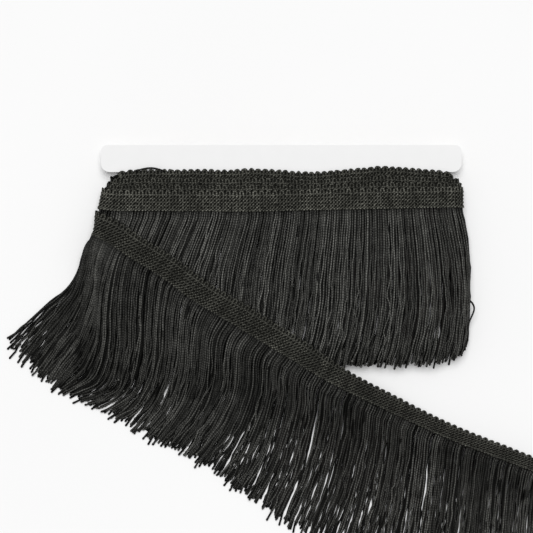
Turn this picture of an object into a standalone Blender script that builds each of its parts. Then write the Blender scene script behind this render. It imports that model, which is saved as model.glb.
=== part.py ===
"""Chainette fringe trim wound on a card, with its loose end laid out beside it.

The trim is a woven heading with a looped upper edge and a row of hanging yarns.
It lies flat: four turns go round the neck of a card, and the loose end folds over
the left side, runs down across the winding and off it to the right.

While it is drawn, x = 0 is the middle of the card, y = 0 its top edge, and z = 0
the surface that everything lies on. At the end all of it is moved so that the
origin is under the middle of the whole object.
"""

import math
from collections import namedtuple

import bmesh
import bpy
import numpy as np
from mathutils import Vector

# Driving dimensions, in metres
CLEARANCE = 0.0003
TURN_THICKNESS = 0.0014
TURNS = 4
HEADING_WIDTH = 0.0154
HEADING_THICKNESS = 0.0012
SCALLOP_PITCH = 0.0042
SCALLOP_HEIGHT = 0.0012

CARD_WIDTH = 0.2164
CARD_HEIGHT = 0.1200
CARD_THICKNESS = 0.0016
CARD_NECK_WIDTH = 0.1944
CARD_LOBE_HEIGHT = 0.0162
CARD_CORNER_RADIUS = 0.0036
CARD_SHOULDER_RADIUS = 0.0050
CARD_NECK_FILLET = 0.0005
CARD_ARC_STEPS = 4
WELD_DISTANCE = 0.00001

STRIP_WIDTH = 0.0017
LOCK_PITCH = 0.0024
LOCK_WIDTH = 0.00135
LOCK_TIP_WIDTH = 0.00115
LOCK_THICKNESS = 0.0012
WOUND_LOCKS_FRONT = 48
WOUND_LOCKS_BACK = 36
WOUND_LOCKS_END = 3
WOUND_LOCK_SHARE = 0.80
WOUND_END_SHARE = 0.50
TIP_LEAN = 0.0040
TIP_LEAN_POWER = 3
TIP_RAGGEDNESS = 0.0022
TIP_RAGGEDNESS_POWER = 8
TIP_WAVES = (2.4, 5.1)

# Heights that follow from the stack: back turns, card, front turns
BACK_TOP = TURNS * TURN_THICKNESS
CARD_BOTTOM = BACK_TOP + CLEARANCE
CARD_TOP = CARD_BOTTOM + CARD_THICKNESS
FRONT_BOTTOM = CARD_TOP + CLEARANCE
FRONT_TOP = FRONT_BOTTOM + TURNS * TURN_THICKNESS

# The turns of the winding, from the inside out. left and right are the folds of a
# turn's outer face, top is its upper edge, and slope is how far that edge climbs
# for each metre to the right.
INNER_LEFT = -0.0980
INNER_RIGHT = 0.1022
Turn = namedtuple("Turn", "top left right slope")
WINDING = (
    Turn(top=-0.0146, left=-0.0992, right=0.1036, slope=0.000),
    Turn(top=-0.0194, left=-0.1040, right=0.1072, slope=0.005),
    Turn(top=-0.0230, left=-0.1068, right=0.1085, slope=0.010),
    Turn(top=-0.0262, left=-0.1096, right=0.1094, slope=0.014),
)
BELOW_LOBE = -CARD_LOBE_HEIGHT - 0.0010
HEADING_BOTTOM = -0.0396
WINDING_COLUMNS_BACK = 8
WINDING_COLUMNS_END = 6

# How far the upper edge of the winding rises and sags along the card
EdgeRise = namedtuple("EdgeRise", "x rise")
EDGE_RISES = (
    EdgeRise(x=-0.098, rise=-0.0036),
    EdgeRise(x=-0.078, rise=0.0004),
    EdgeRise(x=-0.034, rise=-0.0002),
    EdgeRise(x=0.017, rise=-0.0010),
    EdgeRise(x=0.063, rise=0.0019),
    EdgeRise(x=0.103, rise=-0.0032),
)

# Sections across the wound yarns, from their roots to their tips
Section = namedtuple(
    "Section", "y left_in left_out right_in right_out front_in front_out back_in back_out"
)
YARN_BODY = (
    Section(-0.0399, -0.0980, -0.1082, 0.1022, 0.1094, FRONT_BOTTOM, 0.0133, BACK_TOP, 0.0),
    Section(-0.0418, -0.0985, -0.1085, 0.1026, 0.1098, FRONT_BOTTOM, 0.0132, BACK_TOP, 0.0),
    Section(-0.0950, -0.1100, -0.1134, 0.1100, 0.1132, FRONT_BOTTOM, 0.0126, BACK_TOP, 0.0),
    Section(-0.1215, -0.1100, -0.1134, 0.1100, 0.1134, FRONT_BOTTOM, 0.0118, BACK_TOP, 0.0),
    Section(-0.1318, -0.1070, -0.1100, 0.1080, 0.1112, 0.0042, 0.0070, 0.0034, 0.0),
)

# The run of the loose heading along its middle. bearing is the direction of the
# run seen from above, and tilt lifts the yarn edge above the looped edge.
Run = namedtuple("Run", "x y z bearing tilt")
LOOSE_RUN = (
    Run(x=-0.1112, y=-0.0466, z=0.0010, bearing=0.0, tilt=0.0),
    Run(x=-0.1114, y=-0.0467, z=0.0085, bearing=-6.0, tilt=0.0),
    Run(x=-0.1102, y=-0.0474, z=0.0125, bearing=-16.0, tilt=0.0),
    Run(x=-0.1066, y=-0.0490, z=0.0144, bearing=-26.0, tilt=0.0),
    Run(x=-0.1016, y=-0.0516, z=0.0148, bearing=-32.0, tilt=0.0),
    Run(x=-0.0860, y=-0.0618, z=0.0147, bearing=-33.5, tilt=0.0),
    Run(x=-0.0686, y=-0.0726, z=0.0145, bearing=-35.0, tilt=0.0),
    Run(x=-0.0482, y=-0.0875, z=0.0142, bearing=-34.0, tilt=0.0),
    Run(x=-0.0236, y=-0.1022, z=0.0140, bearing=-31.0, tilt=2.0),
    Run(x=-0.0044, y=-0.1141, z=0.0144, bearing=-32.0, tilt=8.0),
    Run(x=0.0101, y=-0.1230, z=0.0151, bearing=-33.0, tilt=17.0),
    Run(x=0.0266, y=-0.1340, z=0.0148, bearing=-31.0, tilt=28.0),
    Run(x=0.0389, y=-0.1412, z=0.0131, bearing=-28.5, tilt=37.0),
    Run(x=0.0665, y=-0.1554, z=0.0087, bearing=-26.5, tilt=44.0),
    Run(x=0.0977, y=-0.1707, z=0.0066, bearing=-23.5, tilt=50.0),
    Run(x=0.1361, y=-0.1860, z=0.0067, bearing=-21.0, tilt=53.0),
    Run(x=0.1691, y=-0.1988, z=0.0068, bearing=-21.0, tilt=54.0),
)
RUN_STEP_SHARE = 0.0001
LOOSE_YARNS_START = 0.0080
YARN_LEAVES = 0.0030
LEVEL_FROM_RING = 2

# The lie of the loose yarns, by the middle of a yarn. along is the place of its root
# on the heading. It stays up to the shoulder, falls past the edge, lands on the
# surface and runs level to its tip.
Lie = namedtuple(
    "Lie",
    "along shoulder_x shoulder_y shoulder_z edge_x edge_y edge_z land_x land_y tip_x tip_y",
)
LOOSE_LIE = (
    Lie(0.0080, -0.1183, -0.0618, 0.0085, -0.1213, -0.0720, 0.0040, -0.1243, -0.0810, -0.1658, -0.1182),
    Lie(0.0110, -0.1177, -0.0654, 0.0120, -0.1213, -0.0798, 0.0065, -0.1268, -0.0894, -0.1568, -0.1254),
    Lie(0.0145, -0.1148, -0.0702, 0.0136, -0.1196, -0.0882, 0.0070, -0.1249, -0.0990, -0.1502, -0.1314),
    Lie(0.0190, -0.1123, -0.0810, 0.0142, -0.1183, -0.0990, 0.0080, -0.1231, -0.1104, -0.1435, -0.1368),
    Lie(0.0250, -0.1111, -0.1026, 0.0136, -0.1171, -0.1158, 0.0084, -0.1207, -0.1242, -0.1351, -0.1428),
    Lie(0.0300, -0.1093, -0.1182, 0.0134, -0.1153, -0.1296, 0.0084, -0.1183, -0.1356, -0.1292, -0.1476),
    Lie(0.0360, -0.1009, -0.1206, 0.0133, -0.1064, -0.1362, 0.0088, -0.1100, -0.1434, -0.1213, -0.1518),
    Lie(0.0500, -0.0866, -0.1212, 0.0132, -0.0914, -0.1368, 0.0086, -0.0950, -0.1470, -0.1070, -0.1584),
    Lie(0.0760, -0.0661, -0.1218, 0.0132, -0.0703, -0.1362, 0.0086, -0.0733, -0.1476, -0.0835, -0.1710),
    Lie(0.1120, -0.0374, -0.1242, 0.0134, -0.0404, -0.1374, 0.0094, -0.0428, -0.1506, -0.0559, -0.1848),
    Lie(0.1480, -0.0050, -0.1362, 0.0140, -0.0079, -0.1446, 0.0090, -0.0103, -0.1590, -0.0206, -0.2094),
    Lie(0.1740, 0.0184, -0.1506, 0.0125, 0.0161, -0.1578, 0.0070, 0.0143, -0.1698, 0.0040, -0.2262),
    Lie(0.2000, 0.0437, -0.1602, 0.0110, 0.0418, -0.1674, 0.0055, 0.0406, -0.1794, 0.0293, -0.2376),
    Lie(0.2350, 0.0755, -0.1734, 0.0090, 0.0742, -0.1794, 0.0045, 0.0736, -0.1902, 0.0653, -0.2544),
    Lie(0.2800, 0.1181, -0.1902, 0.0085, 0.1174, -0.1956, 0.0042, 0.1168, -0.2058, 0.1103, -0.2730),
    Lie(0.3320, 0.1666, -0.2088, 0.0085, 0.1660, -0.2142, 0.0042, 0.1654, -0.2244, 0.1594, -0.2916),
)


def clear_scene():
    """Start from an empty file."""
    for item in list(bpy.data.objects):
        bpy.data.objects.remove(item, do_unlink=True)


def make_material(name, colour, roughness):
    """A Principled material in one plain finish."""
    material = bpy.data.materials.new(name)
    material.use_nodes = True
    shader = material.node_tree.nodes["Principled BSDF"]
    shader.inputs["Base Color"].default_value = (*colour, 1.0)
    shader.inputs["Roughness"].default_value = roughness
    shader.inputs["Metallic"].default_value = 0.0
    return material


def add_mesh(name, bm, collection, material):
    """Turn a finished bmesh into a named object."""
    bmesh.ops.recalc_face_normals(bm, faces=bm.faces[:])
    mesh = bpy.data.meshes.new(name)
    bm.to_mesh(mesh)
    bm.free()
    part = bpy.data.objects.new(name, mesh)
    part.data.materials.append(material)
    collection.objects.link(part)
    return part


class SmoothTable:
    """Reads a table of rows as one smooth curve over its keys."""

    def __init__(self, keys, rows):
        self.keys = np.array(keys, dtype=float)
        self.rows = np.array(rows, dtype=float)
        steps = np.diff(self.keys)[:, None]
        slopes = np.diff(self.rows, axis=0) / steps
        inner = (slopes[:-1] * steps[1:] + slopes[1:] * steps[:-1]) / (steps[:-1] + steps[1:])
        self.tangents = np.vstack([slopes[:1], inner, slopes[-1:]])

    def at(self, key):
        """The row at a key between two rows of the table."""
        key = min(max(key, self.keys[0]), self.keys[-1])
        index = min(int(np.searchsorted(self.keys, key, side="right")) - 1, len(self.keys) - 2)
        span = self.keys[index + 1] - self.keys[index]
        t = (key - self.keys[index]) / span
        start = self.rows[index]
        end = self.rows[index + 1]
        leave = self.tangents[index] * span
        arrive = self.tangents[index + 1] * span
        blend = (2 * t**3 - 3 * t**2 + 1) * start + (3 * t**2 - 2 * t**3) * end
        return blend + (t**3 - 2 * t**2 + t) * leave + (t**3 - t**2) * arrive


# The card

def arc_points(centre, radius, start, stop):
    """Points on a quarter turn, both ends included."""
    points = []
    for step in range(CARD_ARC_STEPS + 1):
        angle = math.radians(start + (stop - start) * step / CARD_ARC_STEPS)
        x = centre[0] + radius * math.cos(angle)
        y = centre[1] + radius * math.sin(angle)
        points.append((x, y))
    return points


def card_outline():
    """The card's outline: a lobe at each end of a narrower neck."""
    corner = CARD_CORNER_RADIUS
    shoulder = CARD_SHOULDER_RADIUS
    fillet = CARD_NECK_FILLET
    side = CARD_WIDTH / 2
    neck = CARD_NECK_WIDTH / 2
    right_half = []
    right_half += arc_points((side - corner, -corner), corner, 90, 0)
    right_half += arc_points((side - shoulder, shoulder - CARD_LOBE_HEIGHT), shoulder, 0, -90)
    right_half += arc_points((neck + fillet, -CARD_LOBE_HEIGHT - fillet), fillet, 90, 180)
    mirrored_down = [(x, -CARD_HEIGHT - y) for x, y in reversed(right_half)]
    right_half += mirrored_down
    left_half = [(-x, y) for x, y in reversed(right_half)]
    return right_half + left_half


def make_card(collection):
    """The board core, cut flat from its outline."""
    outline = card_outline()
    curve = bpy.data.curves.new("card", "CURVE")
    curve.dimensions = "2D"
    curve.fill_mode = "BOTH"
    curve.extrude = CARD_THICKNESS / 2
    spline = curve.splines.new("POLY")
    spline.points.add(len(outline) - 1)
    for point, (x, y) in zip(spline.points, outline):
        point.co = (x, y, 0.0, 1.0)
    spline.use_cyclic_u = True
    card = bpy.data.objects.new("card", curve)
    card.location.z = (CARD_BOTTOM + CARD_TOP) / 2
    weld = card.modifiers.new("closed edges", "WELD")
    weld.merge_threshold = WELD_DISTANCE
    curve.materials.append(make_material("white board", (0.90, 0.90, 0.89), 0.75))
    collection.objects.link(card)
    return card


# The loop that a turn makes round the card

Loop = namedtuple("Loop", "left right front back start stop")


def loop_point(loop, side, share):
    """A point on a loop, as x and z: two straight runs joined by rounded ends."""
    middle = (loop.front + loop.back) / 2
    half_height = (loop.front - loop.back) / 2
    if side == "front":
        return loop.start + (loop.stop - loop.start) * share, loop.front
    if side == "back":
        return loop.stop + (loop.start - loop.stop) * share, loop.back
    if side == "right":
        angle = math.radians(90 - 180 * share)
        x = loop.stop + (loop.right - loop.stop) * math.cos(angle)
        return x, middle + half_height * math.sin(angle)
    angle = math.radians(270 - 180 * share)
    x = loop.start + (loop.start - loop.left) * math.cos(angle)
    return x, middle + half_height * math.sin(angle)


def loop_straights():
    """Where the straight runs of every loop start and stop."""
    corner = (FRONT_BOTTOM - BACK_TOP) / 2
    return INNER_LEFT + corner, INNER_RIGHT - corner


def winding_loop(level):
    """The loop outside so many turns, 0 at the card and TURNS at the outer face."""
    start, stop = loop_straights()
    front = FRONT_BOTTOM + level * TURN_THICKNESS
    back = BACK_TOP - level * TURN_THICKNESS
    folds = [(INNER_LEFT, INNER_RIGHT)] + [(turn.left, turn.right) for turn in WINDING]
    left, right = folds[level]
    return Loop(left, right, front, back, start, stop)


# The wound heading

def scallop_rise(column, turn):
    """The looped edge: every other column stands proud, and turns are out of step."""
    return SCALLOP_HEIGHT * ((column + turn) % 2)


def winding_stations():
    """Where the section of the winding is placed, all the way round."""
    start, stop = loop_straights()
    columns = 2 * round((stop - start) / SCALLOP_PITCH)
    stations = [("front", index / columns, index) for index in range(columns)]
    for side, count in (("right", WINDING_COLUMNS_END), ("back", WINDING_COLUMNS_BACK),
                        ("left", WINDING_COLUMNS_END)):
        stations += [(side, index / count, None) for index in range(count)]
    return stations


def winding_section(side, share, column, rises):
    """The stepped section at one station, from the first turn's edge to the bottom."""
    points = []
    for turn, edge in enumerate(WINDING, start=1):
        for level in (turn - 1, turn):
            x, z = loop_point(winding_loop(level), side, share)
            y = edge.top + edge.slope * x
            if side == "front":
                y += rises.at(x)[0] * (1 - turn / (TURNS + 1))
                y += scallop_rise(column, turn)
            else:
                y = min(y, BELOW_LOBE)
            points.append(Vector((x, y, z)))
    for level in (TURNS, 0):
        x, z = loop_point(winding_loop(level), side, share)
        points.append(Vector((x, HEADING_BOTTOM, z)))
    return points


def make_wound_heading(collection, material):
    """Four staggered turns of heading as one ring round the card's neck."""
    rises = SmoothTable([row.x for row in EDGE_RISES], [[row.rise] for row in EDGE_RISES])
    bm = bmesh.new()
    rings = []
    for side, share, column in winding_stations():
        section = winding_section(side, share, column, rises)
        rings.append([bm.verts.new(point) for point in section])
    for index, ring in enumerate(rings):
        following = rings[(index + 1) % len(rings)]
        bridge_rings(bm, ring, following)
    return add_mesh("wound_heading", bm, collection, material)


def bridge_rings(bm, ring, following):
    """Close the skin between two rings with the same number of points."""
    count = len(ring)
    for index in range(count):
        ahead = (index + 1) % count
        bm.faces.new((ring[index], ring[ahead], following[ahead], following[index]))


# A strip with yarn locks growing from its lower face

class FringeBuilder:
    """Builds a backing strip cell by cell and grows a lock from each cell."""

    def __init__(self):
        self.bm = bmesh.new()
        self.cells = []

    def add_cell(self, upper, lower_start, lower_stop, lock_rings):
        """upper and lower are pairs of an outer and an inner point."""
        new = self.bm.verts.new
        cell = {
            "upper": [new(point) for point in upper],
            "start": [new(point) for point in lower_start],
            "stop": [new(point) for point in lower_stop],
            "rings": lock_rings,
        }
        self.cells.append(cell)

    def finish(self, closed):
        """Skin the strip between the cells, then pull every lock out of it."""
        pairs = list(zip(self.cells, self.cells[1:]))
        if closed:
            pairs.append((self.cells[-1], self.cells[0]))
        for cell, following in pairs:
            self.skin(cell, following["upper"], following["start"])
        if not closed:
            self.cap_ends(self.cells[0], self.cells[-1])
        for cell in self.cells:
            self.grow_lock(cell)
        return self.bm

    def cap_ends(self, first, last):
        """Close a strip that has two ends, slanting off below the last cell."""
        new_face = self.bm.faces.new
        upper = last["upper"]
        start = last["start"]
        stop = last["stop"]
        new_face((upper[0], stop[0], start[0]))
        new_face((start[1], stop[1], upper[1]))
        new_face((upper[1], stop[1], stop[0], upper[0]))
        new_face((first["upper"][1], first["upper"][0], first["start"][0], first["start"][1]))

    def skin(self, cell, next_upper, next_start):
        """The faces of the strip from one cell to the next."""
        new_face = self.bm.faces.new
        upper = cell["upper"]
        start = cell["start"]
        stop = cell["stop"]
        new_face((upper[0], next_upper[0], next_start[0], stop[0], start[0]))
        new_face((start[1], stop[1], next_start[1], next_upper[1], upper[1]))
        new_face((upper[1], next_upper[1], next_upper[0], upper[0]))
        new_face((stop[0], next_start[0], next_start[1], stop[1]))

    def grow_lock(self, cell):
        """Extrude the cell's lower face along the rings of its lock."""
        start = cell["start"]
        stop = cell["stop"]
        face = self.bm.faces.new((start[0], stop[0], stop[1], start[1]))
        for ring in cell["rings"]:
            grown = bmesh.ops.extrude_discrete_faces(self.bm, faces=[face])
            face = grown["faces"][0]
            for vertex, point in zip(face.verts, ring):
                vertex.co = point


# The wound yarns

def body_loops(section):
    """The inner and outer loop of the wound yarns at one section."""
    corner = (FRONT_BOTTOM - BACK_TOP) / 2
    start = section.left_in + corner
    stop = section.right_in - corner
    inner = Loop(section.left_in, section.right_in, section.front_in, section.back_in, start, stop)
    outer = Loop(section.left_out, section.right_out, section.front_out, section.back_out, start, stop)
    return outer, inner


def body_point(section, side, share, raggedness):
    """The outer and inner point of the wound yarns at one place round the loop."""
    depth = (section.y - YARN_BODY[0].y) / (YARN_BODY[-1].y - YARN_BODY[0].y)
    points = []
    for loop in body_loops(section):
        x, z = loop_point(loop, side, share)
        reach = max(0.0, 1.0 - (x / WINDING[-1].right) ** 2)
        x -= TIP_LEAN * depth**TIP_LEAN_POWER * reach
        y = section.y - raggedness * depth**TIP_RAGGEDNESS_POWER * reach
        points.append(Vector((x, y, z)))
    return points


def lock_stations():
    """The cells round the winding: side, then the shares where a lock starts and stops."""
    stations = []
    for side, count, share in (
        ("front", WOUND_LOCKS_FRONT, WOUND_LOCK_SHARE),
        ("right", WOUND_LOCKS_END, WOUND_END_SHARE),
        ("back", WOUND_LOCKS_BACK, WOUND_LOCK_SHARE),
        ("left", WOUND_LOCKS_END, WOUND_END_SHARE),
    ):
        stations += [(side, index / count, (index + share) / count) for index in range(count)]
    return stations


def tip_difference(index):
    """How much longer one lock is than its neighbours, in a pattern that seems uneven."""
    waves = [math.sin(index * wave) for wave in TIP_WAVES]
    return TIP_RAGGEDNESS * sum(waves) / len(waves)


def make_wound_fringe(collection, material):
    """The yarns of the four turns, as locks on one ring below the heading."""
    builder = FringeBuilder()
    for index, (side, start, stop) in enumerate(lock_stations()):
        ragged = tip_difference(index)
        upper = body_point(YARN_BODY[0], side, start, 0.0)
        lower_start = body_point(YARN_BODY[1], side, start, 0.0)
        lower_stop = body_point(YARN_BODY[1], side, stop, 0.0)
        rings = []
        for section in YARN_BODY[2:]:
            first = body_point(section, side, start, ragged)
            second = body_point(section, side, stop, ragged)
            rings.append((first[0], second[0], second[1], first[1]))
        builder.add_cell(upper, lower_start, lower_stop, rings)
    return add_mesh("wound_fringe", builder.finish(closed=True), collection, material)


# The loose heading

class LooseRun:
    """The run of the loose heading, read by the distance along it."""

    def __init__(self):
        places = np.array([[row.x, row.y, row.z] for row in LOOSE_RUN])
        steps = np.linalg.norm(np.diff(places, axis=0), axis=1)
        self.keys = np.concatenate([[0.0], np.cumsum(steps)])
        self.table = SmoothTable(self.keys, LOOSE_RUN)
        self.length = self.keys[-1]

    def frame(self, along):
        """The middle, and the directions along, across to the looped edge, and outward."""
        x, y, z, bearing, tilt = self.table.at(along)
        step = self.length * RUN_STEP_SHARE
        ahead = Vector(self.table.at(along + step)[:3])
        behind = Vector(self.table.at(along - step)[:3])
        forward = (ahead - behind).normalized()
        bearing = math.radians(bearing)
        tilt = math.radians(tilt)
        level = Vector((-math.sin(bearing), math.cos(bearing), 0.0))
        across = level * math.cos(tilt) - Vector((0.0, 0.0, 1.0)) * math.sin(tilt)
        across = (across - forward * across.dot(forward)).normalized()
        outward = forward.cross(across)
        return Vector((x, y, z)), forward, across, outward


def make_loose_heading(run, collection, material):
    """The loose length of heading, with its looped upper edge."""
    scallops = round(run.length / SCALLOP_PITCH)
    stations = 2 * scallops
    lower_edge = -HEADING_WIDTH / 2 + STRIP_WIDTH + CLEARANCE
    half = HEADING_THICKNESS / 2
    bm = bmesh.new()
    rings = []
    for index in range(stations + 1):
        middle, forward, across, outward = run.frame(run.length * index / stations)
        upper_edge = HEADING_WIDTH / 2 - SCALLOP_HEIGHT * (1 - index % 2)
        corners = ((upper_edge, half), (upper_edge, -half), (lower_edge, -half), (lower_edge, half))
        points = [middle + across * a + outward * b for a, b in corners]
        rings.append([bm.verts.new(point) for point in points])
    for ring, following in zip(rings, rings[1:]):
        bridge_rings(bm, ring, following)
    bm.faces.new(rings[0])
    bm.faces.new(rings[-1])
    return add_mesh("loose_heading", bm, collection, material)


# The loose yarns

def lock_path(leave, lie):
    """Points down one yarn: off the heading, over the edge, level along the surface."""
    half = LOCK_THICKNESS / 2
    shoulder = Vector(lie[0:3])
    edge = Vector(lie[3:6])
    land = Vector((lie[6], lie[7], half))
    tip = Vector((lie[8], lie[9], half))
    return [leave, shoulder, edge, land, tip]


def lock_rings(root, path, forward, outward):
    """Four-sided rings along a path, which turn level by the ring at the edge."""
    up = Vector((0.0, 0.0, 1.0))
    rings = []
    previous = root
    for index, point in enumerate(path):
        ahead = path[index + 1] if index + 1 < len(path) else point
        run = (ahead - previous).normalized()
        flat = Vector((run.x, run.y, 0.0)).normalized()
        level_side = Vector((-flat.y, flat.x, 0.0))
        turn = min(1.0, index / LEVEL_FROM_RING)
        side = (forward * (1 - turn) + level_side * turn).normalized()
        if point.z < LOCK_THICKNESS:
            normal = up
        else:
            normal = run.cross(side).normalized()
            if normal.dot(up) < 0 and normal.dot(outward) < 0:
                normal = -normal
        share = index / (len(path) - 1)
        half_side = side * (LOCK_WIDTH * (1 - share) + LOCK_TIP_WIDTH * share) / 2
        half_up = normal * LOCK_THICKNESS / 2
        rings.append((
            point - half_side + half_up,
            point + half_side + half_up,
            point + half_side - half_up,
            point - half_side - half_up,
        ))
        previous = point
    return rings


def make_loose_fringe(run, collection, material):
    """The yarns of the loose end, as locks on a strip below the loose heading."""
    lies = SmoothTable([row.along for row in LOOSE_LIE], [row[1:] for row in LOOSE_LIE])
    half = LOCK_THICKNESS / 2
    upper_edge = -HEADING_WIDTH / 2 + STRIP_WIDTH
    lower_edge = -HEADING_WIDTH / 2
    count = int((run.length - LOOSE_YARNS_START) / LOCK_PITCH)
    builder = FringeBuilder()
    for index in range(count):
        along = LOOSE_YARNS_START + index * LOCK_PITCH
        places = []
        for offset, edge in ((0.0, upper_edge), (0.0, lower_edge), (LOCK_WIDTH, lower_edge)):
            middle, forward, across, outward = run.frame(along + offset)
            places.append([middle + across * edge + outward * b for b in (half, -half)])
        middle, forward, across, outward = run.frame(along + LOCK_WIDTH / 2)
        root = middle + across * lower_edge
        off_heading = Vector((-across.x, -across.y, 0.0)).normalized() * YARN_LEAVES
        path = lock_path(root + off_heading, lies.at(along))
        rings = lock_rings(root, path, forward, outward)
        builder.add_cell(places[0], places[1], places[2], rings)
    return add_mesh("loose_fringe", builder.finish(closed=False), collection, material)


# The whole trim

def stand_on_origin(parts, collection):
    """Put the origin under the middle of the whole object."""
    bpy.context.view_layer.update()
    corners = [part.matrix_world @ Vector(corner) for part in parts for corner in part.bound_box]
    low = [min(corner[axis] for corner in corners) for axis in range(3)]
    high = [max(corner[axis] for corner in corners) for axis in range(3)]
    holder = bpy.data.objects.new("origin_under_middle", None)
    collection.objects.link(holder)
    for part in parts:
        part.parent = holder
    holder.location = (-(low[0] + high[0]) / 2, -(low[1] + high[1]) / 2, -low[2])


def main():
    """Build every piece of the trim."""
    clear_scene()
    collection = bpy.data.collections.new("chainette_fringe_trim")
    bpy.context.scene.collection.children.link(collection)
    braid = make_material("black woven heading", (0.022, 0.023, 0.019), 0.8)
    yarn = make_material("black chainette yarn", (0.018, 0.018, 0.017), 0.7)
    loose_braid = braid.copy()
    loose_braid.name = "black woven heading, loose"
    loose_yarn = yarn.copy()
    loose_yarn.name = "black chainette yarn, loose"
    run = LooseRun()
    parts = [
        make_card(collection),
        make_wound_heading(collection, braid),
        make_wound_fringe(collection, yarn),
        make_loose_heading(run, collection, loose_braid),
        make_loose_fringe(run, collection, loose_yarn),
    ]
    stand_on_origin(parts, collection)


main()
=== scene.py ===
"""Chainette fringe trim wound on a card, with its loose end laid out beside it."""
import math
import random
from collections import namedtuple

import bmesh
import bpy
import numpy as np
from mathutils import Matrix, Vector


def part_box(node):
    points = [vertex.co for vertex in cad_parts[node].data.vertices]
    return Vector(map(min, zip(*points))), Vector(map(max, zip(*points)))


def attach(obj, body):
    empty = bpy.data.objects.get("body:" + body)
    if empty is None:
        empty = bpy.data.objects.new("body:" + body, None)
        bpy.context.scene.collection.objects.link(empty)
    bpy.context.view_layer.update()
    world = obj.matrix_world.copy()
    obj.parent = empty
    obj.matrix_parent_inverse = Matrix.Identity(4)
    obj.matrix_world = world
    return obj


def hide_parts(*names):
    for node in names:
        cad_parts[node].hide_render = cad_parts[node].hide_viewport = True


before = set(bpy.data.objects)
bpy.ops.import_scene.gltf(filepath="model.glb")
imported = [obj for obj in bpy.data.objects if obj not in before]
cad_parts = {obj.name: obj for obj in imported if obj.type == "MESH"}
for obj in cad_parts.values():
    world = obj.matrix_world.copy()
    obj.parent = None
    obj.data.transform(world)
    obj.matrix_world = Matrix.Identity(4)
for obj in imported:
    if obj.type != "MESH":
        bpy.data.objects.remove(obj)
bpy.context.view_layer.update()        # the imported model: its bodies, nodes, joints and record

bl_info = {
    "name": "Chainette fringe trim",
    "version": (1, 0, 0),
    "blender": (4, 5, 0),
    "location": "3D View > Sidebar > Trim",
    "description": "Builds a chainette fringe wound on a card, with its loose end laid out",
    "category": "Add Mesh",
}

MM = 0.001


class SmoothTable:
    """Reads rows of numbers as one smooth curve over their first column."""

    def __init__(self, *rows):
        table = np.array(rows, dtype=float)
        self.keys = table[:, 0]
        self.rows = table[:, 1:]
        steps = np.diff(self.keys)[:, None]
        slopes = np.diff(self.rows, axis=0) / steps
        inner = (slopes[:-1] * steps[1:] + slopes[1:] * steps[:-1]) / (steps[:-1] + steps[1:])
        self.tangents = np.vstack([slopes[:1], inner, slopes[-1:]])

    def at(self, key):
        """The row at a key between two rows of the table."""
        key = min(max(key, self.keys[0]), self.keys[-1])
        index = min(int(np.searchsorted(self.keys, key, side="right")) - 1, len(self.keys) - 2)
        span = self.keys[index + 1] - self.keys[index]
        t = (key - self.keys[index]) / span
        start = self.rows[index]
        end = self.rows[index + 1]
        leave = self.tangents[index] * span
        arrive = self.tangents[index + 1] * span
        blend = (2 * t**3 - 3 * t**2 + 1) * start + (3 * t**2 - 2 * t**3) * end
        return blend + (t**3 - 2 * t**2 + t) * leave + (t**3 - t**2) * arrive


# Sizes that the CAD source has too, in metres

CLEARANCE = 0.0003
TURN_THICKNESS = 0.0014
TURNS = 4
CARD_LOBE_HEIGHT = 0.0162
CARD_THICKNESS = 0.0016
BACK_TOP = TURNS * TURN_THICKNESS
CARD_TOP = BACK_TOP + CLEARANCE + CARD_THICKNESS
FRONT_BOTTOM = CARD_TOP + CLEARANCE
FOLD_CORNER = (FRONT_BOTTOM - BACK_TOP) / 2
INNER_LEFT = -0.0980
INNER_RIGHT = 0.1022
BELOW_LOBE = -CARD_LOBE_HEIGHT - 0.0010
YARN_LEAVES = 0.0030

# The row's frame has its origin under the middle of the whole object, while the tables
# here are measured from the middle of the card's top edge.
card_low, card_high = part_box("card")
SHIFT = np.array([(card_low.x + card_high.x) / 2, card_high.y, 0.0])

# The turns of the winding, from the inside out: how far the folds reach to each side,
# and how far the turn's heading lies between the first turn's place and the last one's
Turn = namedtuple("Turn", "left right step")
WINDING = (
    Turn(left=-0.0990, right=0.1036, step=0.00),
    Turn(left=-0.1040, right=0.1072, step=0.41),
    Turn(left=-0.1068, right=0.1085, step=0.72),
    Turn(left=-0.1100, right=0.1094, step=1.00),
)

# The upper edge of the first turn along the card, as x and y
FIRST_EDGE = SmoothTable(
    (-0.0985, -0.0163), (-0.0938, -0.0150), (-0.0848, -0.0142), (-0.0775, -0.0142),
    (-0.0698, -0.0143), (-0.0488, -0.0142), (-0.0308, -0.0145), (-0.0218, -0.0138),
    (-0.0008, -0.0147), (0.0112, -0.0156), (0.0232, -0.0156), (0.0352, -0.0144),
    (0.0472, -0.0135), (0.0634, -0.0124), (0.0712, -0.0129), (0.0832, -0.0140),
    (0.0982, -0.0156), (0.1030, -0.0172),
)
# The middle line of the last turn along the card, as x and y
LAST_MIDDLE = SmoothTable(
    (-0.1100, -0.0337), (-0.0885, -0.0335), (-0.0600, -0.0336), (-0.0120, -0.0338),
    (0.0110, -0.0332), (0.0300, -0.0327), (0.0620, -0.0321), (0.1100, -0.0312),
)

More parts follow.
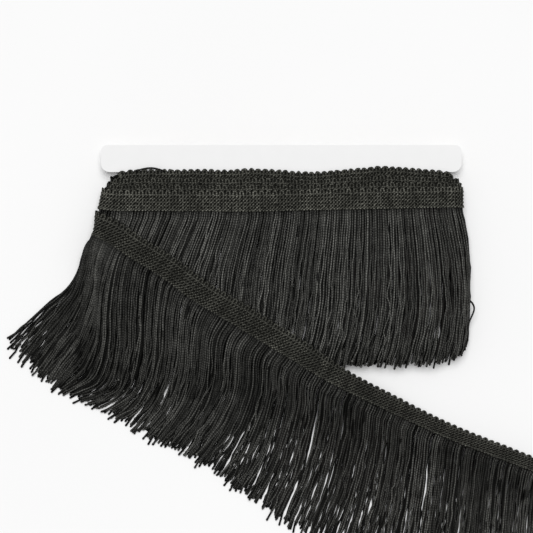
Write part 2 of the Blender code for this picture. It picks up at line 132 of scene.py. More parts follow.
# Sections across the wound yarns from their roots to their tips: how far down, and the
# inner and outer place of the left, right, front and back
YARN_BODY = SmoothTable(
    (0.0399, -0.0980, -0.1082, 0.1022, 0.1094, FRONT_BOTTOM, 0.0133, BACK_TOP, 0.0),
    (0.0418, -0.0985, -0.1085, 0.1026, 0.1098, FRONT_BOTTOM, 0.0132, BACK_TOP, 0.0),
    (0.0950, -0.1100, -0.1134, 0.1098, 0.1130, FRONT_BOTTOM, 0.0126, BACK_TOP, 0.0),
    (0.1180, -0.1100, -0.1134, 0.1078, 0.1108, FRONT_BOTTOM, 0.0118, BACK_TOP, 0.0),
    (0.1318, -0.1070, -0.1100, 0.1052, 0.1084, 0.0042, 0.0070, 0.0034, 0.0),
)
# Where the wound yarns end, as the x of a tip and its y
WOUND_TIPS = SmoothTable(
    (-0.1140, -0.1180), (-0.1080, -0.1280), (-0.0600, -0.1300), (0.0000, -0.1310),
    (0.0340, -0.1318), (0.0450, -0.1330), (0.0680, -0.1326), (0.0940, -0.1322),
    (0.1006, -0.1308), (0.1070, -0.1286), (0.1100, -0.1245), (0.1140, -0.1150),
)
# How far the front yarns lean to the left below the heading, as the x of a root and a shift
WOUND_LEAN = SmoothTable(
    (-0.0980, 0.0000), (-0.0800, 0.0060), (-0.0600, 0.0085), (-0.0350, 0.0065),
    (-0.0100, 0.0050), (0.0300, 0.0040), (0.0650, 0.0025), (0.0950, 0.0000), (0.1100, 0.0000),
)

# The run of the loose heading along its middle: x, y, z, bearing and tilt. The bearing is
# the direction of the run seen from above, and the tilt lifts the yarn edge above the loops.
LOOSE_RUN = (
    (-0.1112, -0.0466, 0.0010, 0.0, 0.0),
    (-0.1114, -0.0467, 0.0085, -6.0, 0.0),
    (-0.1102, -0.0474, 0.0125, -16.0, 0.0),
    (-0.1066, -0.0490, 0.0144, -26.0, 0.0),
    (-0.1016, -0.0516, 0.0148, -32.0, 0.0),
    (-0.0860, -0.0618, 0.0147, -33.5, 0.0),
    (-0.0686, -0.0726, 0.0145, -35.0, 0.0),
    (-0.0482, -0.0875, 0.0142, -34.0, 0.0),
    (-0.0236, -0.1022, 0.0140, -31.0, 2.0),
    (-0.0044, -0.1141, 0.0144, -32.0, 8.0),
    (0.0101, -0.1230, 0.0151, -33.0, 17.0),
    (0.0266, -0.1340, 0.0148, -31.0, 28.0),
    (0.0389, -0.1412, 0.0131, -28.5, 37.0),
    (0.0665, -0.1554, 0.0087, -26.5, 44.0),
    (0.0977, -0.1707, 0.0066, -23.5, 50.0),
    (0.1361, -0.1860, 0.0067, -21.0, 53.0),
    (0.1691, -0.1988, 0.0068, -21.0, 54.0),
)
LOOSE_YARNS_START = 0.0080

# The lie of the loose yarns by the place of the root on the heading: the shoulder and
# the edge that they fall from, where they land on the surface, and the tip
LOOSE_LIE = SmoothTable(
    (0.0080, -0.1183, -0.0618, 0.0085, -0.1213, -0.0720, 0.0040, -0.1243, -0.0810, -0.1658, -0.1182),
    (0.0110, -0.1177, -0.0654, 0.0120, -0.1213, -0.0798, 0.0065, -0.1268, -0.0894, -0.1568, -0.1254),
    (0.0145, -0.1148, -0.0702, 0.0136, -0.1196, -0.0882, 0.0070, -0.1249, -0.0990, -0.1502, -0.1314),
    (0.0190, -0.1123, -0.0810, 0.0142, -0.1183, -0.0990, 0.0080, -0.1231, -0.1104, -0.1435, -0.1368),
    (0.0250, -0.1111, -0.1026, 0.0136, -0.1171, -0.1158, 0.0084, -0.1207, -0.1242, -0.1351, -0.1428),
    (0.0300, -0.1093, -0.1182, 0.0134, -0.1153, -0.1296, 0.0084, -0.1183, -0.1356, -0.1292, -0.1476),
    (0.0360, -0.1009, -0.1206, 0.0133, -0.1064, -0.1362, 0.0088, -0.1100, -0.1434, -0.1213, -0.1518),
    (0.0500, -0.0866, -0.1212, 0.0132, -0.0914, -0.1368, 0.0086, -0.0950, -0.1470, -0.1070, -0.1584),
    (0.0760, -0.0661, -0.1218, 0.0132, -0.0703, -0.1362, 0.0086, -0.0733, -0.1476, -0.0835, -0.1710),
    (0.1120, -0.0374, -0.1242, 0.0134, -0.0404, -0.1374, 0.0094, -0.0428, -0.1506, -0.0559, -0.1848),
    (0.1480, -0.0050, -0.1362, 0.0140, -0.0079, -0.1446, 0.0090, -0.0103, -0.1590, -0.0206, -0.2094),
    (0.1740, 0.0184, -0.1506, 0.0125, 0.0161, -0.1578, 0.0070, 0.0143, -0.1698, 0.0040, -0.2262),
    (0.2000, 0.0437, -0.1602, 0.0110, 0.0418, -0.1674, 0.0055, 0.0406, -0.1794, 0.0293, -0.2376),
    (0.2350, 0.0755, -0.1734, 0.0090, 0.0742, -0.1794, 0.0045, 0.0736, -0.1902, 0.0653, -0.2544),
    (0.2800, 0.1181, -0.1902, 0.0085, 0.1174, -0.1956, 0.0042, 0.1168, -0.2058, 0.1103, -0.2730),
    (0.3320, 0.1666, -0.2088, 0.0085, 0.1660, -0.2142, 0.0042, 0.1654, -0.2244, 0.1594, -0.2916),
)


# Sizes and colours that a user would change

def length_property(name, description, default):
    return bpy.props.FloatProperty(
        name=name, description=description, default=default, unit="LENGTH", precision=5, min=0.0
    )


def colour_property(name, description, default):
    return bpy.props.FloatVectorProperty(
        name=name, description=description, default=default, subtype="COLOR", size=3,
        min=0.0, max=1.0,
    )


class TrimSizes(bpy.types.PropertyGroup):
    """Sizes of the heading and the yarns."""

    repeat: length_property("Repeat", "Length of one loop of the heading along the trim", 0.0040)
    loose_width: length_property("Loose width", "Width of the loose heading", 0.0154)
    wound_width: length_property("Wound width", "Width of the heading where it is wound", 0.0134)
    tape_thickness: length_property("Tape thickness", "Thickness of the woven ground", 0.0007)
    yarn_radius: length_property("Yarn radius", "Radius of one fringe yarn", 0.00056)
    yarn_wander: length_property("Yarn wander", "How far a yarn strays from its lie", 0.0016)
    knob_radius: length_property("Knob radius", "Radius of the knot at a yarn's tip", 0.00072)
    seed: bpy.props.IntProperty(name="Seed", description="Pattern of the small differences", default=7)


class TrimColours(bpy.types.PropertyGroup):
    """Colours of the board and the black threads."""

    board: colour_property("Board", "Face of the card", (0.84, 0.84, 0.84))
    kraft: colour_property("Board edge", "Cut edge of the card", (0.42, 0.33, 0.22))
    cord: colour_property("Heading cord", "Cords of the heading", (0.034, 0.034, 0.029))
    ground: colour_property("Heading ground", "Woven ground behind the cords", (0.009, 0.009, 0.0075))
    yarn: colour_property("Yarn", "Fringe yarns", (0.026, 0.026, 0.024))


class StudioSizes(bpy.types.PropertyGroup):
    """The camera and the light."""

    camera_height: length_property("Camera height", "Height of the camera above the trim", 1.1)
    picture_width: length_property("Picture width", "Width that the picture takes in", 0.3198)
    key: bpy.props.FloatProperty(name="Key light", description="Strength of the sun lamp", default=2.35)
    sky: bpy.props.FloatProperty(name="Sky", description="Strength of the white surroundings", default=0.36)


# The runs that the heading follows

def smooth_step(value):
    """0 below 0, 1 above 1 and a soft change between them."""
    value = min(max(value, 0.0), 1.0)
    return value * value * (3 - 2 * value)


class Run:
    """The middle line of a length of heading, read by the distance along it."""

    def __init__(self, middles, acrosses):
        self.middles = np.array(middles, dtype=float)
        steps = np.linalg.norm(np.diff(self.middles, axis=0), axis=1)
        self.keys = np.concatenate([[0.0], np.cumsum(steps)])
        self.length = self.keys[-1]
        forward = np.gradient(self.middles, self.keys, axis=0)
        self.forwards = forward / np.linalg.norm(forward, axis=1)[:, None]
        across = np.array(acrosses, dtype=float)
        across -= self.forwards * np.sum(across * self.forwards, axis=1)[:, None]
        self.acrosses = across / np.linalg.norm(across, axis=1)[:, None]
        self.outwards = np.cross(self.forwards, self.acrosses)

    def read(self, rows, along):
        return np.array([np.interp(along, self.keys, rows[:, axis]) for axis in range(3)])

    def frame(self, along):
        """The middle, and the directions across to the looped edge and outward."""
        return [self.read(rows, along) for rows in (self.middles, self.acrosses, self.outwards)]


STRAIGHT_START = INNER_LEFT + FOLD_CORNER
STRAIGHT_STOP = INNER_RIGHT - FOLD_CORNER


def fold_place(centre, reach, high, low, degrees):
    """The x and z of a place on a fold round the card's edge; 90 degrees is the front."""
    angle = math.radians(degrees)
    return centre + reach * math.cos(angle), (high + low) / 2 + (high - low) / 2 * math.sin(angle)


def front_middle(turn, x, width):
    """The y of the middle line of one turn on the front."""
    first = FIRST_EDGE.at(x)[0] - width / 2
    last = LAST_MIDDLE.at(x)[0]
    return first + (last - first) * WINDING[turn - 1].step


FRONT_SAMPLES = 110
FOLD_SAMPLES = 20
# How far the left folds lean in at their looped edge, as a share of the width, and the
# share of that lean by which their middle is drawn in
FOLD_LEAN = 0.22
DRAWN_IN = 0.4
# How the last turn goes over to the loose end
TAIL = ((-0.1010, -0.0400, 0.0007), (-0.1060, -0.0446, 0.0007), (-0.1095, -0.0466, 0.0007))


def wound_run(turn, width):
    """One turn: up the left side, over the front, round the right side, over the back."""
    start, stop = STRAIGHT_START, STRAIGHT_STOP
    level = turn - 0.5
    front = FRONT_BOTTOM + level * TURN_THICKNESS
    back = BACK_TOP - level * TURN_THICKNESS
    left = WINDING[turn - 1].left + TURN_THICKNESS / 2
    right = WINDING[turn - 1].right - TURN_THICKNESS / 2
    reach = start - left - FOLD_LEAN * width * DRAWN_IN
    highest = BELOW_LOBE - width / 2
    y_right = min(front_middle(turn, stop, width), highest)
    y_left = min(front_middle(turn, start, width), highest)
    y_before = min(front_middle(max(turn - 1, 1), start, width), highest)
    # The first turn begins in its left fold; the others come up from the turn before
    begins = 180 if turn == 1 else 270
    back_before = back if turn == 1 else back + TURN_THICKNESS
    points = []
    acrosses = []
    for index in range(FOLD_SAMPLES):
        share = index / FOLD_SAMPLES
        degrees = begins + (90 - begins) * share
        x, z = fold_place(start, reach, front, back_before, degrees)
        points.append((x, y_before + (y_left - y_before) * share, z))
        acrosses.append((-FOLD_LEAN * math.cos(math.radians(degrees)), 1.0, 0.0))
    for index in range(FRONT_SAMPLES):
        x = start + (stop - start) * index / FRONT_SAMPLES
        points.append((x, front_middle(turn, x, width), front))
    for index in range(FOLD_SAMPLES):
        x, z = fold_place(stop, right - stop, front, back, 90 - 180 * index / FOLD_SAMPLES)
        points.append((x, y_right, z))
    for index in range(FRONT_SAMPLES):
        share = index / FRONT_SAMPLES
        points.append((stop + (start - stop) * share, y_right + (y_left - y_right) * share, back))
    points.append((start, y_left, back))
    if turn == TURNS:
        points += TAIL
    acrosses += [(0.0, 1.0, 0.0)] * (len(points) - len(acrosses))
    return Run(points, acrosses)


LOOSE_SAMPLES = 240


def loose_run():
    """The loose length: up the left side, over the winding and down onto the surface."""
    places = np.array([row[:3] for row in LOOSE_RUN])
    keys = np.concatenate([[0.0], np.cumsum(np.linalg.norm(np.diff(places, axis=0), axis=1))])
    table = SmoothTable(*[(key, *row) for key, row in zip(keys, LOOSE_RUN)])
    middles = []
    acrosses = []
    for along in np.linspace(0.0, keys[-1], LOOSE_SAMPLES):
        x, y, z, bearing, tilt = table.at(along)
        bearing = math.radians(bearing)
        tilt = math.radians(tilt)
        level = np.array([-math.sin(bearing), math.cos(bearing), 0.0])
        middles.append((x, y, z))
        acrosses.append(level * math.cos(tilt) - np.array([0.0, 0.0, math.sin(tilt)]))
    return Run(middles, acrosses)


# Nodes, written as Python expressions

class Link:
    """A node's output, with arithmetic that adds the matching nodes."""

    def __init__(self, graph, socket):
        self.graph = graph
        self.socket = socket

    def pick(self, name):
        """Another output of the same node."""
        return Link(self.graph, self.socket.node.outputs[name])

    def math(self, operation, *values):
        """A Math node, or a Vector Math node where a vector or colour goes in."""
        links = [value for value in values if isinstance(value, Link)]
        if all(link.socket.type not in {"VECTOR", "RGBA"} for link in links):
            return self.graph.node("ShaderNodeMath", dict(enumerate(values)), operation=operation)
        values = [(value,) * 3 if isinstance(value, (int, float)) else value for value in values]
        return self.graph.node("ShaderNodeVectorMath", dict(enumerate(values)), operation=operation)

    def __add__(self, other):
        return self.math("ADD", self, other)

    def __sub__(self, other):
        return self.math("SUBTRACT", self, other)

    def __rsub__(self, other):
        return self.math("SUBTRACT", other, self)

    def __mul__(self, other):
        return self.math("MULTIPLY", self, other)

    def __truediv__(self, other):
        return self.math("DIVIDE", self, other)

    def __rtruediv__(self, other):
        return self.math("DIVIDE", other, self)

    def __pow__(self, other):
        return self.math("POWER", self, other)

    def __abs__(self):
        return self.math("ABSOLUTE", self)

    def sine(self):
        return self.math("SINE", self)

    def at_least(self, other):
        return self.math("MAXIMUM", self, other)

    def at_most(self, other):
        return self.math("MINIMUM", self, other)


class Graph:
    """A node tree that is filled node by node."""

    def __init__(self, tree):
        self.tree = tree

    def node(self, kind, sockets=None, out=0, **settings):
        """Add a node: its settings first, then its sockets' values or links."""
        node = self.tree.nodes.new(kind)
        for name, value in settings.items():
            setattr(node, name, value)
        for key, value in (sockets or {}).items():
            for item in value if isinstance(value, list) else [value]:
                if isinstance(item, Link):
                    self.tree.links.new(item.socket, node.inputs[key])
                else:
                    node.inputs[key].default_value = item
        return Link(self, node.outputs[out])

    def split(self, vector, axis):
        return self.node("ShaderNodeSeparateXYZ", {"Vector": vector}, axis)

    def vector(self, **parts):
        return self.node("ShaderNodeCombineXYZ", parts)

    def noise(self, vector, size, detail=2.0, out="Fac", **sockets):
        """Soft noise with patches of about this size."""
        sockets.update({"Vector": vector, "Scale": 1 / size, "Detail": detail})
        dimensions = "4D" if "W" in sockets else "3D"
        return self.node("ShaderNodeTexNoise", sockets, out, noise_dimensions=dimensions)

    def mix(self, factor, first, second):
        """A colour between two colours."""
        return self.node("ShaderNodeMix", {0: factor, 6: first, 7: second}, 2, data_type="RGBA")

    def bump(self, strength, distance, height):
        sockets = {"Strength": strength, "Distance": distance, "Height": height}
        return self.node("ShaderNodeBump", sockets)

    def attribute(self, name, out="Vector"):
        """An attribute of the mesh, in a material."""
        return self.node("ShaderNodeAttribute", {}, out, attribute_name=name)

    def named(self, name, kind="FLOAT"):
        """An attribute of the points, in a geometry tree."""
        return self.node("GeometryNodeInputNamedAttribute", {"Name": name}, data_type=kind)

    def keep(self, geometry, name, value, kind="FLOAT"):
        """Store a value on the points under a name."""
        sockets = {"Geometry": geometry, "Name": name, "Value": value}
        return self.node("GeometryNodeStoreNamedAttribute", sockets, data_type=kind, domain="POINT")

    def place(self):
        return self.node("GeometryNodeInputPosition")

    def shape_of(self, helper):
        return self.node("GeometryNodeObjectInfo", {"Object": helper}, "Geometry")

    def move(self, geometry, place):
        return self.node("GeometryNodeSetPosition", {"Geometry": geometry, "Position": place})

    def realize(self, geometry):
        return self.node("GeometryNodeRealizeInstances", {"Geometry": geometry})


# Materials

# The threads: the length of a stitch, how light a crown is painted, the depth of the relief,
# how much the threads differ from each other, and how speckled each is
Thread = namedtuple("Thread", "stitch light bump variety speckle")
THREADS = {
    # The same thread is painted lighter or darker from copy to copy, as painted light and shade: the inner
    # turns and the loose end darker than the last turn, the loose yarns darker than the wound ones, and the
    # stray thread darkest
    "black heading cord, inner turns": Thread(1.3 * MM, 5.0, 0.12 * MM, 0.35, 3.2),
    "black heading cord, last turn": Thread(1.3 * MM, 7.0, 0.12 * MM, 0.35, 3.2),
    "black heading cord, loose": Thread(1.3 * MM, 4.4, 0.12 * MM, 0.35, 2.2),
    "black chainette yarn, wound": Thread(1.55 * MM, 9.6, 0.10 * MM, 0.96, 1.5),
    "black chainette yarn, loose": Thread(1.55 * MM, 7.2, 0.10 * MM, 0.96, 1.5),
    "black stray thread": Thread(1.55 * MM, 1.6, 0.10 * MM, 0.40, 1.0),
}
# How light the darkest thread is painted, and how steeply the painted light falls off round a thread:
# painted shade on its flanks
DEEPEST_PAINTED_LIGHT = 0.03
PAINTED_LIGHT_FALLOFF = 3.2
PATCH_SIZE = 7 * MM
GRAIN_SIZE = 1.3 * MM
FUZZ_SIZE = 0.25 * MM
WARP_STEP = 0.55 * MM
WEFT_STEP = 0.70 * MM
MATT = {"Specular IOR Level": 0.05}


def new_material(name):
    """An empty procedural material with its graph."""
    material = bpy.data.materials.new(name)
    material.use_nodes = True
    return material, Graph(material.node_tree)


def finish_material(material, links, constants):
    """Feed the shader's sockets with links, and set the others to constants."""
    shader = material.node_tree.nodes["Principled BSDF"]
    for name, link in links.items():
        material.node_tree.links.new(link.socket, shader.inputs[name])
    for name, value in constants.items():
        shader.inputs[name].default_value = value
    return material


def rgba(colour, factor=1.0):
    return (*[channel * factor for channel in colour], 1.0)


def object_place(graph):
    return graph.node("ShaderNodeTexCoord", {}, "Object")


def knit(graph, stitch, shade):
    """Height of a chain of V-shaped stitches round a thread, 0 to 1."""
    along = graph.attribute("along", "Fac") + shade * 0.05
    slant = abs(graph.split(graph.attribute("rim"), "X")) * 0.45
    wave = ((along / stitch + slant) * (2 * math.pi)).sine()
    return wave * 0.5 + 0.5


def thread_material(name, colour):
    """Black knitted thread: painted light on its crown and stitches, painted shade where it meets the next.
    """
    thread = THREADS[name]
    material, graph = new_material(name)
    shade = graph.attribute("shade", "Fac")
    rise = graph.attribute("rise", "Fac")
    stitches = knit(graph, thread.stitch, shade)
    place = object_place(graph)
    patches = graph.noise(place, PATCH_SIZE)
    fuzz = graph.noise(place, FUZZ_SIZE, 3.0)
    # painted light on the crown, which faces outward, and painted shade on the flanks
    crown = rise.at_least(0.0) ** PAINTED_LIGHT_FALLOFF * (1 - DEEPEST_PAINTED_LIGHT) + DEEPEST_PAINTED_LIGHT
    # tone that differs at random from thread to thread, and on the yarns also the painted shade of the
    # inner layers
    tone_and_painted_shade = shade * thread.variety + (1.0 - thread.variety)
    grains = (graph.noise(place, GRAIN_SIZE, 1.0) - 0.5) * thread.speckle + 1.0
    # painted highlight on the stitches' crests and painted shade between them, with random fuzz
    painted_stitch_light_and_fuzz = stitches * 0.75 + fuzz * 0.30 + 0.15
    accent = graph.split(graph.attribute("rim"), "Z")
    lightness = crown * tone_and_painted_shade * painted_stitch_light_and_fuzz * (patches * 1.2 + 0.4) * grains.at_least(0.1)
    # each part of the heading is painted lighter or darker by its accent; on the chain row this is a
    # painted highlight
    lightness = lightness * (accent * 1.2 + 1.0)
    links = {
        "Base Color": graph.mix(lightness, rgba(colour, 0.05), rgba(colour, thread.light)),
        "Roughness": fuzz * 0.16 + 0.50,
        "Normal": graph.bump(0.8, thread.bump, stitches * 0.8 + fuzz * 0.5),
    }
    return finish_material(material, links, MATT)


def ground_material(name, colour):
    """The close woven ground that shows between the cords."""
    material, graph = new_material(name)
    along = graph.split(graph.attribute("cloth"), "X")
    warp = (along * (2 * math.pi / WARP_STEP)).sine()
    weft = (along.pick("Y") * (2 * math.pi / WEFT_STEP)).sine()
    weave = warp * weft * 0.5 + 0.5
    fuzz = graph.noise(object_place(graph), 0.3 * MM, 3.0)
    links = {
        "Base Color": graph.mix(weave * 0.6 + fuzz * 0.4, rgba(colour, 0.5), rgba(colour, 1.9)),
        "Roughness": fuzz * 0.1 + 0.7,
        "Normal": graph.bump(0.9, 0.15 * MM, weave + fuzz * 0.4),
    }
    return finish_material(material, links, MATT)


def board_material(name, face, edge):
    """White pressed board: faint fibres and mottling, with a brown cut edge."""
    material, graph = new_material(name)
    place = object_place(graph)
    fibres = graph.noise(place * (1.0, 2.5, 1.0), 0.5 * MM, 4.0)
    mottle = graph.noise(place, 9 * MM)
    upright = abs(graph.split(graph.node("ShaderNodeNewGeometry", {}, "Normal"), "Z"))
    flat = graph.node("ShaderNodeMapRange", {"Value": upright, "From Min": 0.3, "From Max": 0.7})
    shades = graph.mix(fibres * 0.5 + mottle * 0.5, rgba(face, 0.95), rgba(face, 1.03))
    cut = graph.mix(fibres, rgba(edge, 0.8), rgba(edge, 1.2))
    links = {
        "Base Color": graph.mix(flat, cut, shades),
        "Roughness": mottle * 0.1 + 0.55,
        "Normal": graph.bump(0.25, 0.05 * MM, fibres),
    }
    return finish_material(material, links, {"Specular IOR Level": 0.35})


def floor_material(name):
    """A plain white surface with no edge or grain to notice."""
    material, graph = new_material(name)
    haze = graph.noise(object_place(graph), 0.2, 1.0)
    shades = graph.mix(haze, (0.90, 0.90, 0.90, 1.0), (0.93, 0.93, 0.93, 1.0))
    constants = {"Specular IOR Level": 0.1, "Roughness": 0.8}
    return finish_material(material, {"Base Color": shades}, constants)


# Meshes from points

def link_object(name, mesh):
    piece = bpy.data.objects.new(name, mesh)
    bpy.context.scene.collection.objects.link(piece)
    return piece


def mesh_from(name, points, faces=(), edges=()):
    mesh = bpy.data.meshes.new(name)
    mesh.from_pydata([tuple(point) for point in points], list(edges), list(faces))
    mesh.update()
    return mesh


def mesh_of(name, bm):
    """A mesh with what a bmesh holds."""
    mesh = bpy.data.meshes.new(name)
    bm.to_mesh(mesh)
    bm.free()
    return mesh


def store(mesh, name, values):
    """Keep one number or vector for each point of a mesh under a name."""
    is_vector = np.ndim(values) > 1
    attribute = mesh.attributes.new(name, "FLOAT_VECTOR" if is_vector else "FLOAT", "POINT")
    field = "vector" if is_vector else "value"
    attribute.data.foreach_set(field, np.array(values, dtype=np.float32).ravel())


def close_outwards(mesh):
    """Turn all faces of a closed mesh outwards and shade it smooth."""
    bm = bmesh.new()
    bm.from_mesh(mesh)
    bmesh.ops.recalc_face_normals(bm, faces=bm.faces[:])
    bm.to_mesh(mesh)
    bm.free()
    mesh.shade_smooth()


class Threads:
    """Collects short tubes in the flat pattern of the heading."""

    def __init__(self):
        self.points = []
        self.faces = []
        self.along = []
        self.rim = []

    def add(self, path, widths, heights, accents, sides):
        """A closed tube along a path of (u, v, w), flattened by its widths and heights."""
        path = np.array(path, dtype=float)
        first = len(self.points)
        forward = np.gradient(path, axis=0)
        forward[:, 2] = 0.0
        forward /= np.linalg.norm(forward, axis=1)[:, None]
        up = np.array([0.0, 0.0, 1.0])
        travelled = 0.0
        for index, place in enumerate(path):
            if index:
                travelled += np.linalg.norm(place - path[index - 1])
            side = np.cross(forward[index], up)
            for corner in range(sides):
                angle = 2 * math.pi * corner / sides
                offset = side * widths[index] * math.cos(angle) + up * heights[index] * math.sin(angle)
                self.points.append(place + offset)
                self.along.append(travelled)
                self.rim.append((math.sin(angle), math.cos(angle), accents[index]))
        for ring in range(len(path) - 1):
            for corner in range(sides):
                a = first + ring * sides + corner
                b = first + ring * sides + (corner + 1) % sides
                self.faces.append((a, a + sides, b + sides, b))
        last = first + (len(path) - 1) * sides
        self.faces.append([first + corner for corner in range(sides)])
        self.faces.append([last + corner for corner in reversed(range(sides))])

    def mesh(self, name):
        mesh = mesh_from(name, self.points, self.faces)
        store(mesh, "along", self.along)
        store(mesh, "rim", self.rim)
        close_outwards(mesh)
        return mesh


# One repeat of the heading, flat: u along the trim, v across it towards the loops, w out

LEG_OFFSET = 1.05 * MM
LEG_ACCENT = -0.25
ROWS = (-4.75 * MM, -2.3 * MM, 0.15 * MM, 2.6 * MM)
# One bead of a leg, in millimetres: its places round its row, its width and height, its raise
BEAD = ((-1.20, 0.46, 0.30, -0.10), (-0.50, 0.78, 0.54, 0.20), (0.46, 0.74, 0.52, 0.20))
BEAD_SLANT = 0.34 * MM
BEAD_MIDDLE = -0.2
LOOP_START = 4.6 * MM
LOOP_CENTRE = 5.75 * MM
LOOP_RADIUS = 1.04 * MM
LOOP_STEPS = 5
# The loop's cord: how far it is raised, its width and height, and how light it is
LOOP_CORD = (0.0, 0.76 * MM, 0.76 * MM * 0.9, -0.20)
CORD_SIDES = 6
STITCH_SIDES = 5
CROSS_ROWS = (-5.85 * MM, -3.55 * MM, -1.1 * MM, 1.35 * MM, 3.8 * MM)
PLAIN_CROSS_ROWS = CROSS_ROWS[2:]
CROSS_ACCENT = 0.20
CHAIN_ROW = -6.75 * MM
# How much lighter the chain stitches are painted on the wound and the loose heading: a painted highlight on
# the chain row
WOUND_CHAIN_HIGHLIGHT = 0.30
LOOSE_CHAIN_HIGHLIGHT = 0.15
# A stitch that crosses from a leg to the next, and one of the chain row, in millimetres:
# their places, their raise and their thickness there
CROSS_STITCH = ((-0.98, -0.60, 0.12, 0.34), (-0.36, -0.22, 0.42, 0.60), (0.36, 0.22, 0.42, 0.60),
                (0.98, 0.60, 0.12, 0.34))
CHAIN_STITCH = ((-0.92, -0.28, 0.40, 0.26), (-0.55, -0.17, 0.46, 0.66), (0.0, 0.0, 0.46, 0.80),
                (0.55, 0.17, 0.46, 0.66), (0.92, 0.28, 0.40, 0.26))


def leg_rings(side):
    """The rings of one leg of the hairpin, from its lowest bead up to the loops."""
    return [
        (side * LEG_OFFSET + BEAD_SLANT * (offset - BEAD_MIDDLE), row + offset * MM, raised * MM,
         width * MM, height * MM, LEG_ACCENT)
        for row in ROWS for offset, width, height, raised in BEAD
    ]


def add_stitch(threads, stitch, u, v, accent, sides):
    """One short stitch at a place of the pattern."""
    path = [(u + row[0] * MM, v + row[1] * MM, row[2] * MM) for row in stitch]
    thick = [row[3] * MM for row in stitch]
    threads.add(path, thick, thick, [accent] * len(stitch), sides)


def heading_repeat(name, cross_rows, chain_accent):
    """A looped cord, the rows of stitches over its legs and those of the chain."""
    threads = Threads()
    hairpin = leg_rings(-1)
    hairpin.append((-LOOP_RADIUS, LOOP_START, *LOOP_CORD))
    for step in range(LOOP_STEPS + 1):
        angle = math.pi * (1 - step / LOOP_STEPS)
        v = LOOP_CENTRE + LOOP_RADIUS * math.sin(angle)
        hairpin.append((LOOP_RADIUS * math.cos(angle), v, *LOOP_CORD))
    hairpin.append((LOOP_RADIUS, LOOP_START, *LOOP_CORD))
    hairpin += leg_rings(1)[::-1]
    threads.add([row[:3] for row in hairpin], *zip(*[row[3:] for row in hairpin]), CORD_SIDES)
    for side in (-1, 1):
        for row in cross_rows:
            add_stitch(threads, CROSS_STITCH, LEG_OFFSET * (side + 1), row, CROSS_ACCENT, STITCH_SIDES)
        if chain_accent is not None:
            add_stitch(threads, CHAIN_STITCH, side * LEG_OFFSET, CHAIN_ROW, chain_accent, CORD_SIDES)
    return link_object(name, threads.mesh(name))


# The geometry trees

def new_tree(name, sockets):
    """An empty geometry tree with named inputs; returns it and its input node's links."""
    tree = bpy.data.node_groups.new(name, "GeometryNodeTree")
    sockets = {"Geometry": "Geometry", **sockets}
    for socket_name, kind in sockets.items():
        tree.interface.new_socket(socket_name, in_out="INPUT", socket_type="NodeSocket" + kind)
    tree.interface.new_socket("Geometry", in_out="OUTPUT", socket_type="NodeSocketGeometry")
    graph = Graph(tree)
    first = graph.node("NodeGroupInput")
    return graph, {socket_name: first.pick(socket_name) for socket_name in sockets}


def keep_above(graph, place, lowest):
    """A place, raised where it lies lower than this."""
    z = graph.split(place, "Z")
    return graph.vector(X=z.pick("X"), Y=z.pick("Y"), Z=z.at_least(lowest))


def end_tree(graph, geometry, material):
    """Realize, press onto the surface, note how far each point faces outward for the painted light on the
    crowns, shade smooth and give the material.
    """
    resting = graph.move(graph.realize(geometry), keep_above(graph, graph.place(), 0.0))
    normal = graph.node("GeometryNodeInputNormal")
    rise = normal.math("DOT_PRODUCT", normal, graph.named("outward", "FLOAT_VECTOR")).pick("Value")
    noted = graph.keep(resting, "rise", rise)
    shaded = graph.node("GeometryNodeSetShadeSmooth", {"Geometry": noted, "Shade Smooth": True})
    finished = graph.node("GeometryNodeSetMaterial", {"Geometry": shaded, "Material": material})
    output = graph.tree.nodes.new("NodeGroupOutput")
    graph.tree.links.new(finished.socket, output.inputs["Geometry"])
    return graph.tree


UNEVEN_SIZE = 2.8 * MM
SHADE_SEED = 3


def heading_tree():
    """Lays repeats of the heading in a row, then bends the row along the run."""
    graph, inputs = new_tree("Heading along a run", {
        "Repeat": "Object", "Repeats": "Int", "Pitch": "Float", "Start": "Float",
        "Width Scale": "Float", "Unevenness": "Float", "Material": "Material",
    })
    curve = graph.node("GeometryNodeMeshToCurve", {"Mesh": inputs["Geometry"]})
    line = graph.node("GeometryNodeMeshLine", {
        "Count": inputs["Repeats"],
        "Start Location": graph.vector(X=inputs["Start"] + inputs["Pitch"] * 0.5),
        "Offset": graph.vector(X=inputs["Pitch"]),
    }, mode="OFFSET")
    chosen = {"ID": graph.node("GeometryNodeInputIndex"), "Seed": SHADE_SEED}
    shade = graph.node("FunctionNodeRandomValue", chosen, 1, data_type="FLOAT")
    row = graph.node("GeometryNodeInstanceOnPoints", {
        "Points": graph.keep(line, "shade", shade), "Instance": graph.shape_of(inputs["Repeat"]),
    })
    place = graph.place()
    drift = graph.noise(place, UNEVEN_SIZE, 1.0, "Color") - 0.5
    along = graph.split(place + drift * inputs["Unevenness"], "X")
    across = along.pick("Y") * inputs["Width Scale"]
    outward = along.pick("Z")
    sampled = {}
    for name in ("across", "outward"):
        sampled[name] = graph.node("GeometryNodeSampleCurve", {
            "Curves": curve, "Value": graph.named(name, "FLOAT_VECTOR"), "Length": along,
        }, mode="LENGTH", data_type="FLOAT_VECTOR")
    faced = graph.keep(graph.realize(row), "outward", sampled["outward"], "FLOAT_VECTOR")
    middle = sampled["across"].pick("Position")
    bent = graph.move(faced, middle + sampled["across"] * across + sampled["outward"] * outward)
    return end_tree(graph, bent, inputs["Material"])


# The drift that all yarns share: its size, how much it differs from yarn to yarn and its
# strength; then how much a yarn's own drift differs, and its strength
SHARED_SIZE = 14 * MM
SHARED_STEP = 0.02
SHARED_STRENGTH = 1.7
OWN_STEP = 7.31
OWN_STRENGTH = 2.8
# How often a yarn's line is smoothed, and how fast that sets in from its two ends
SMOOTHING_STEPS = 3
SMOOTHING_ONSET = 9.0
# How the drift grows from the root to the tip, how fast its lift sets in and its share
DRIFT_GROWTH = 1.15
ROOT_DRIFT = 0.32
LIFT_ONSET = 8.0
LIFT_SHARE = 0.5


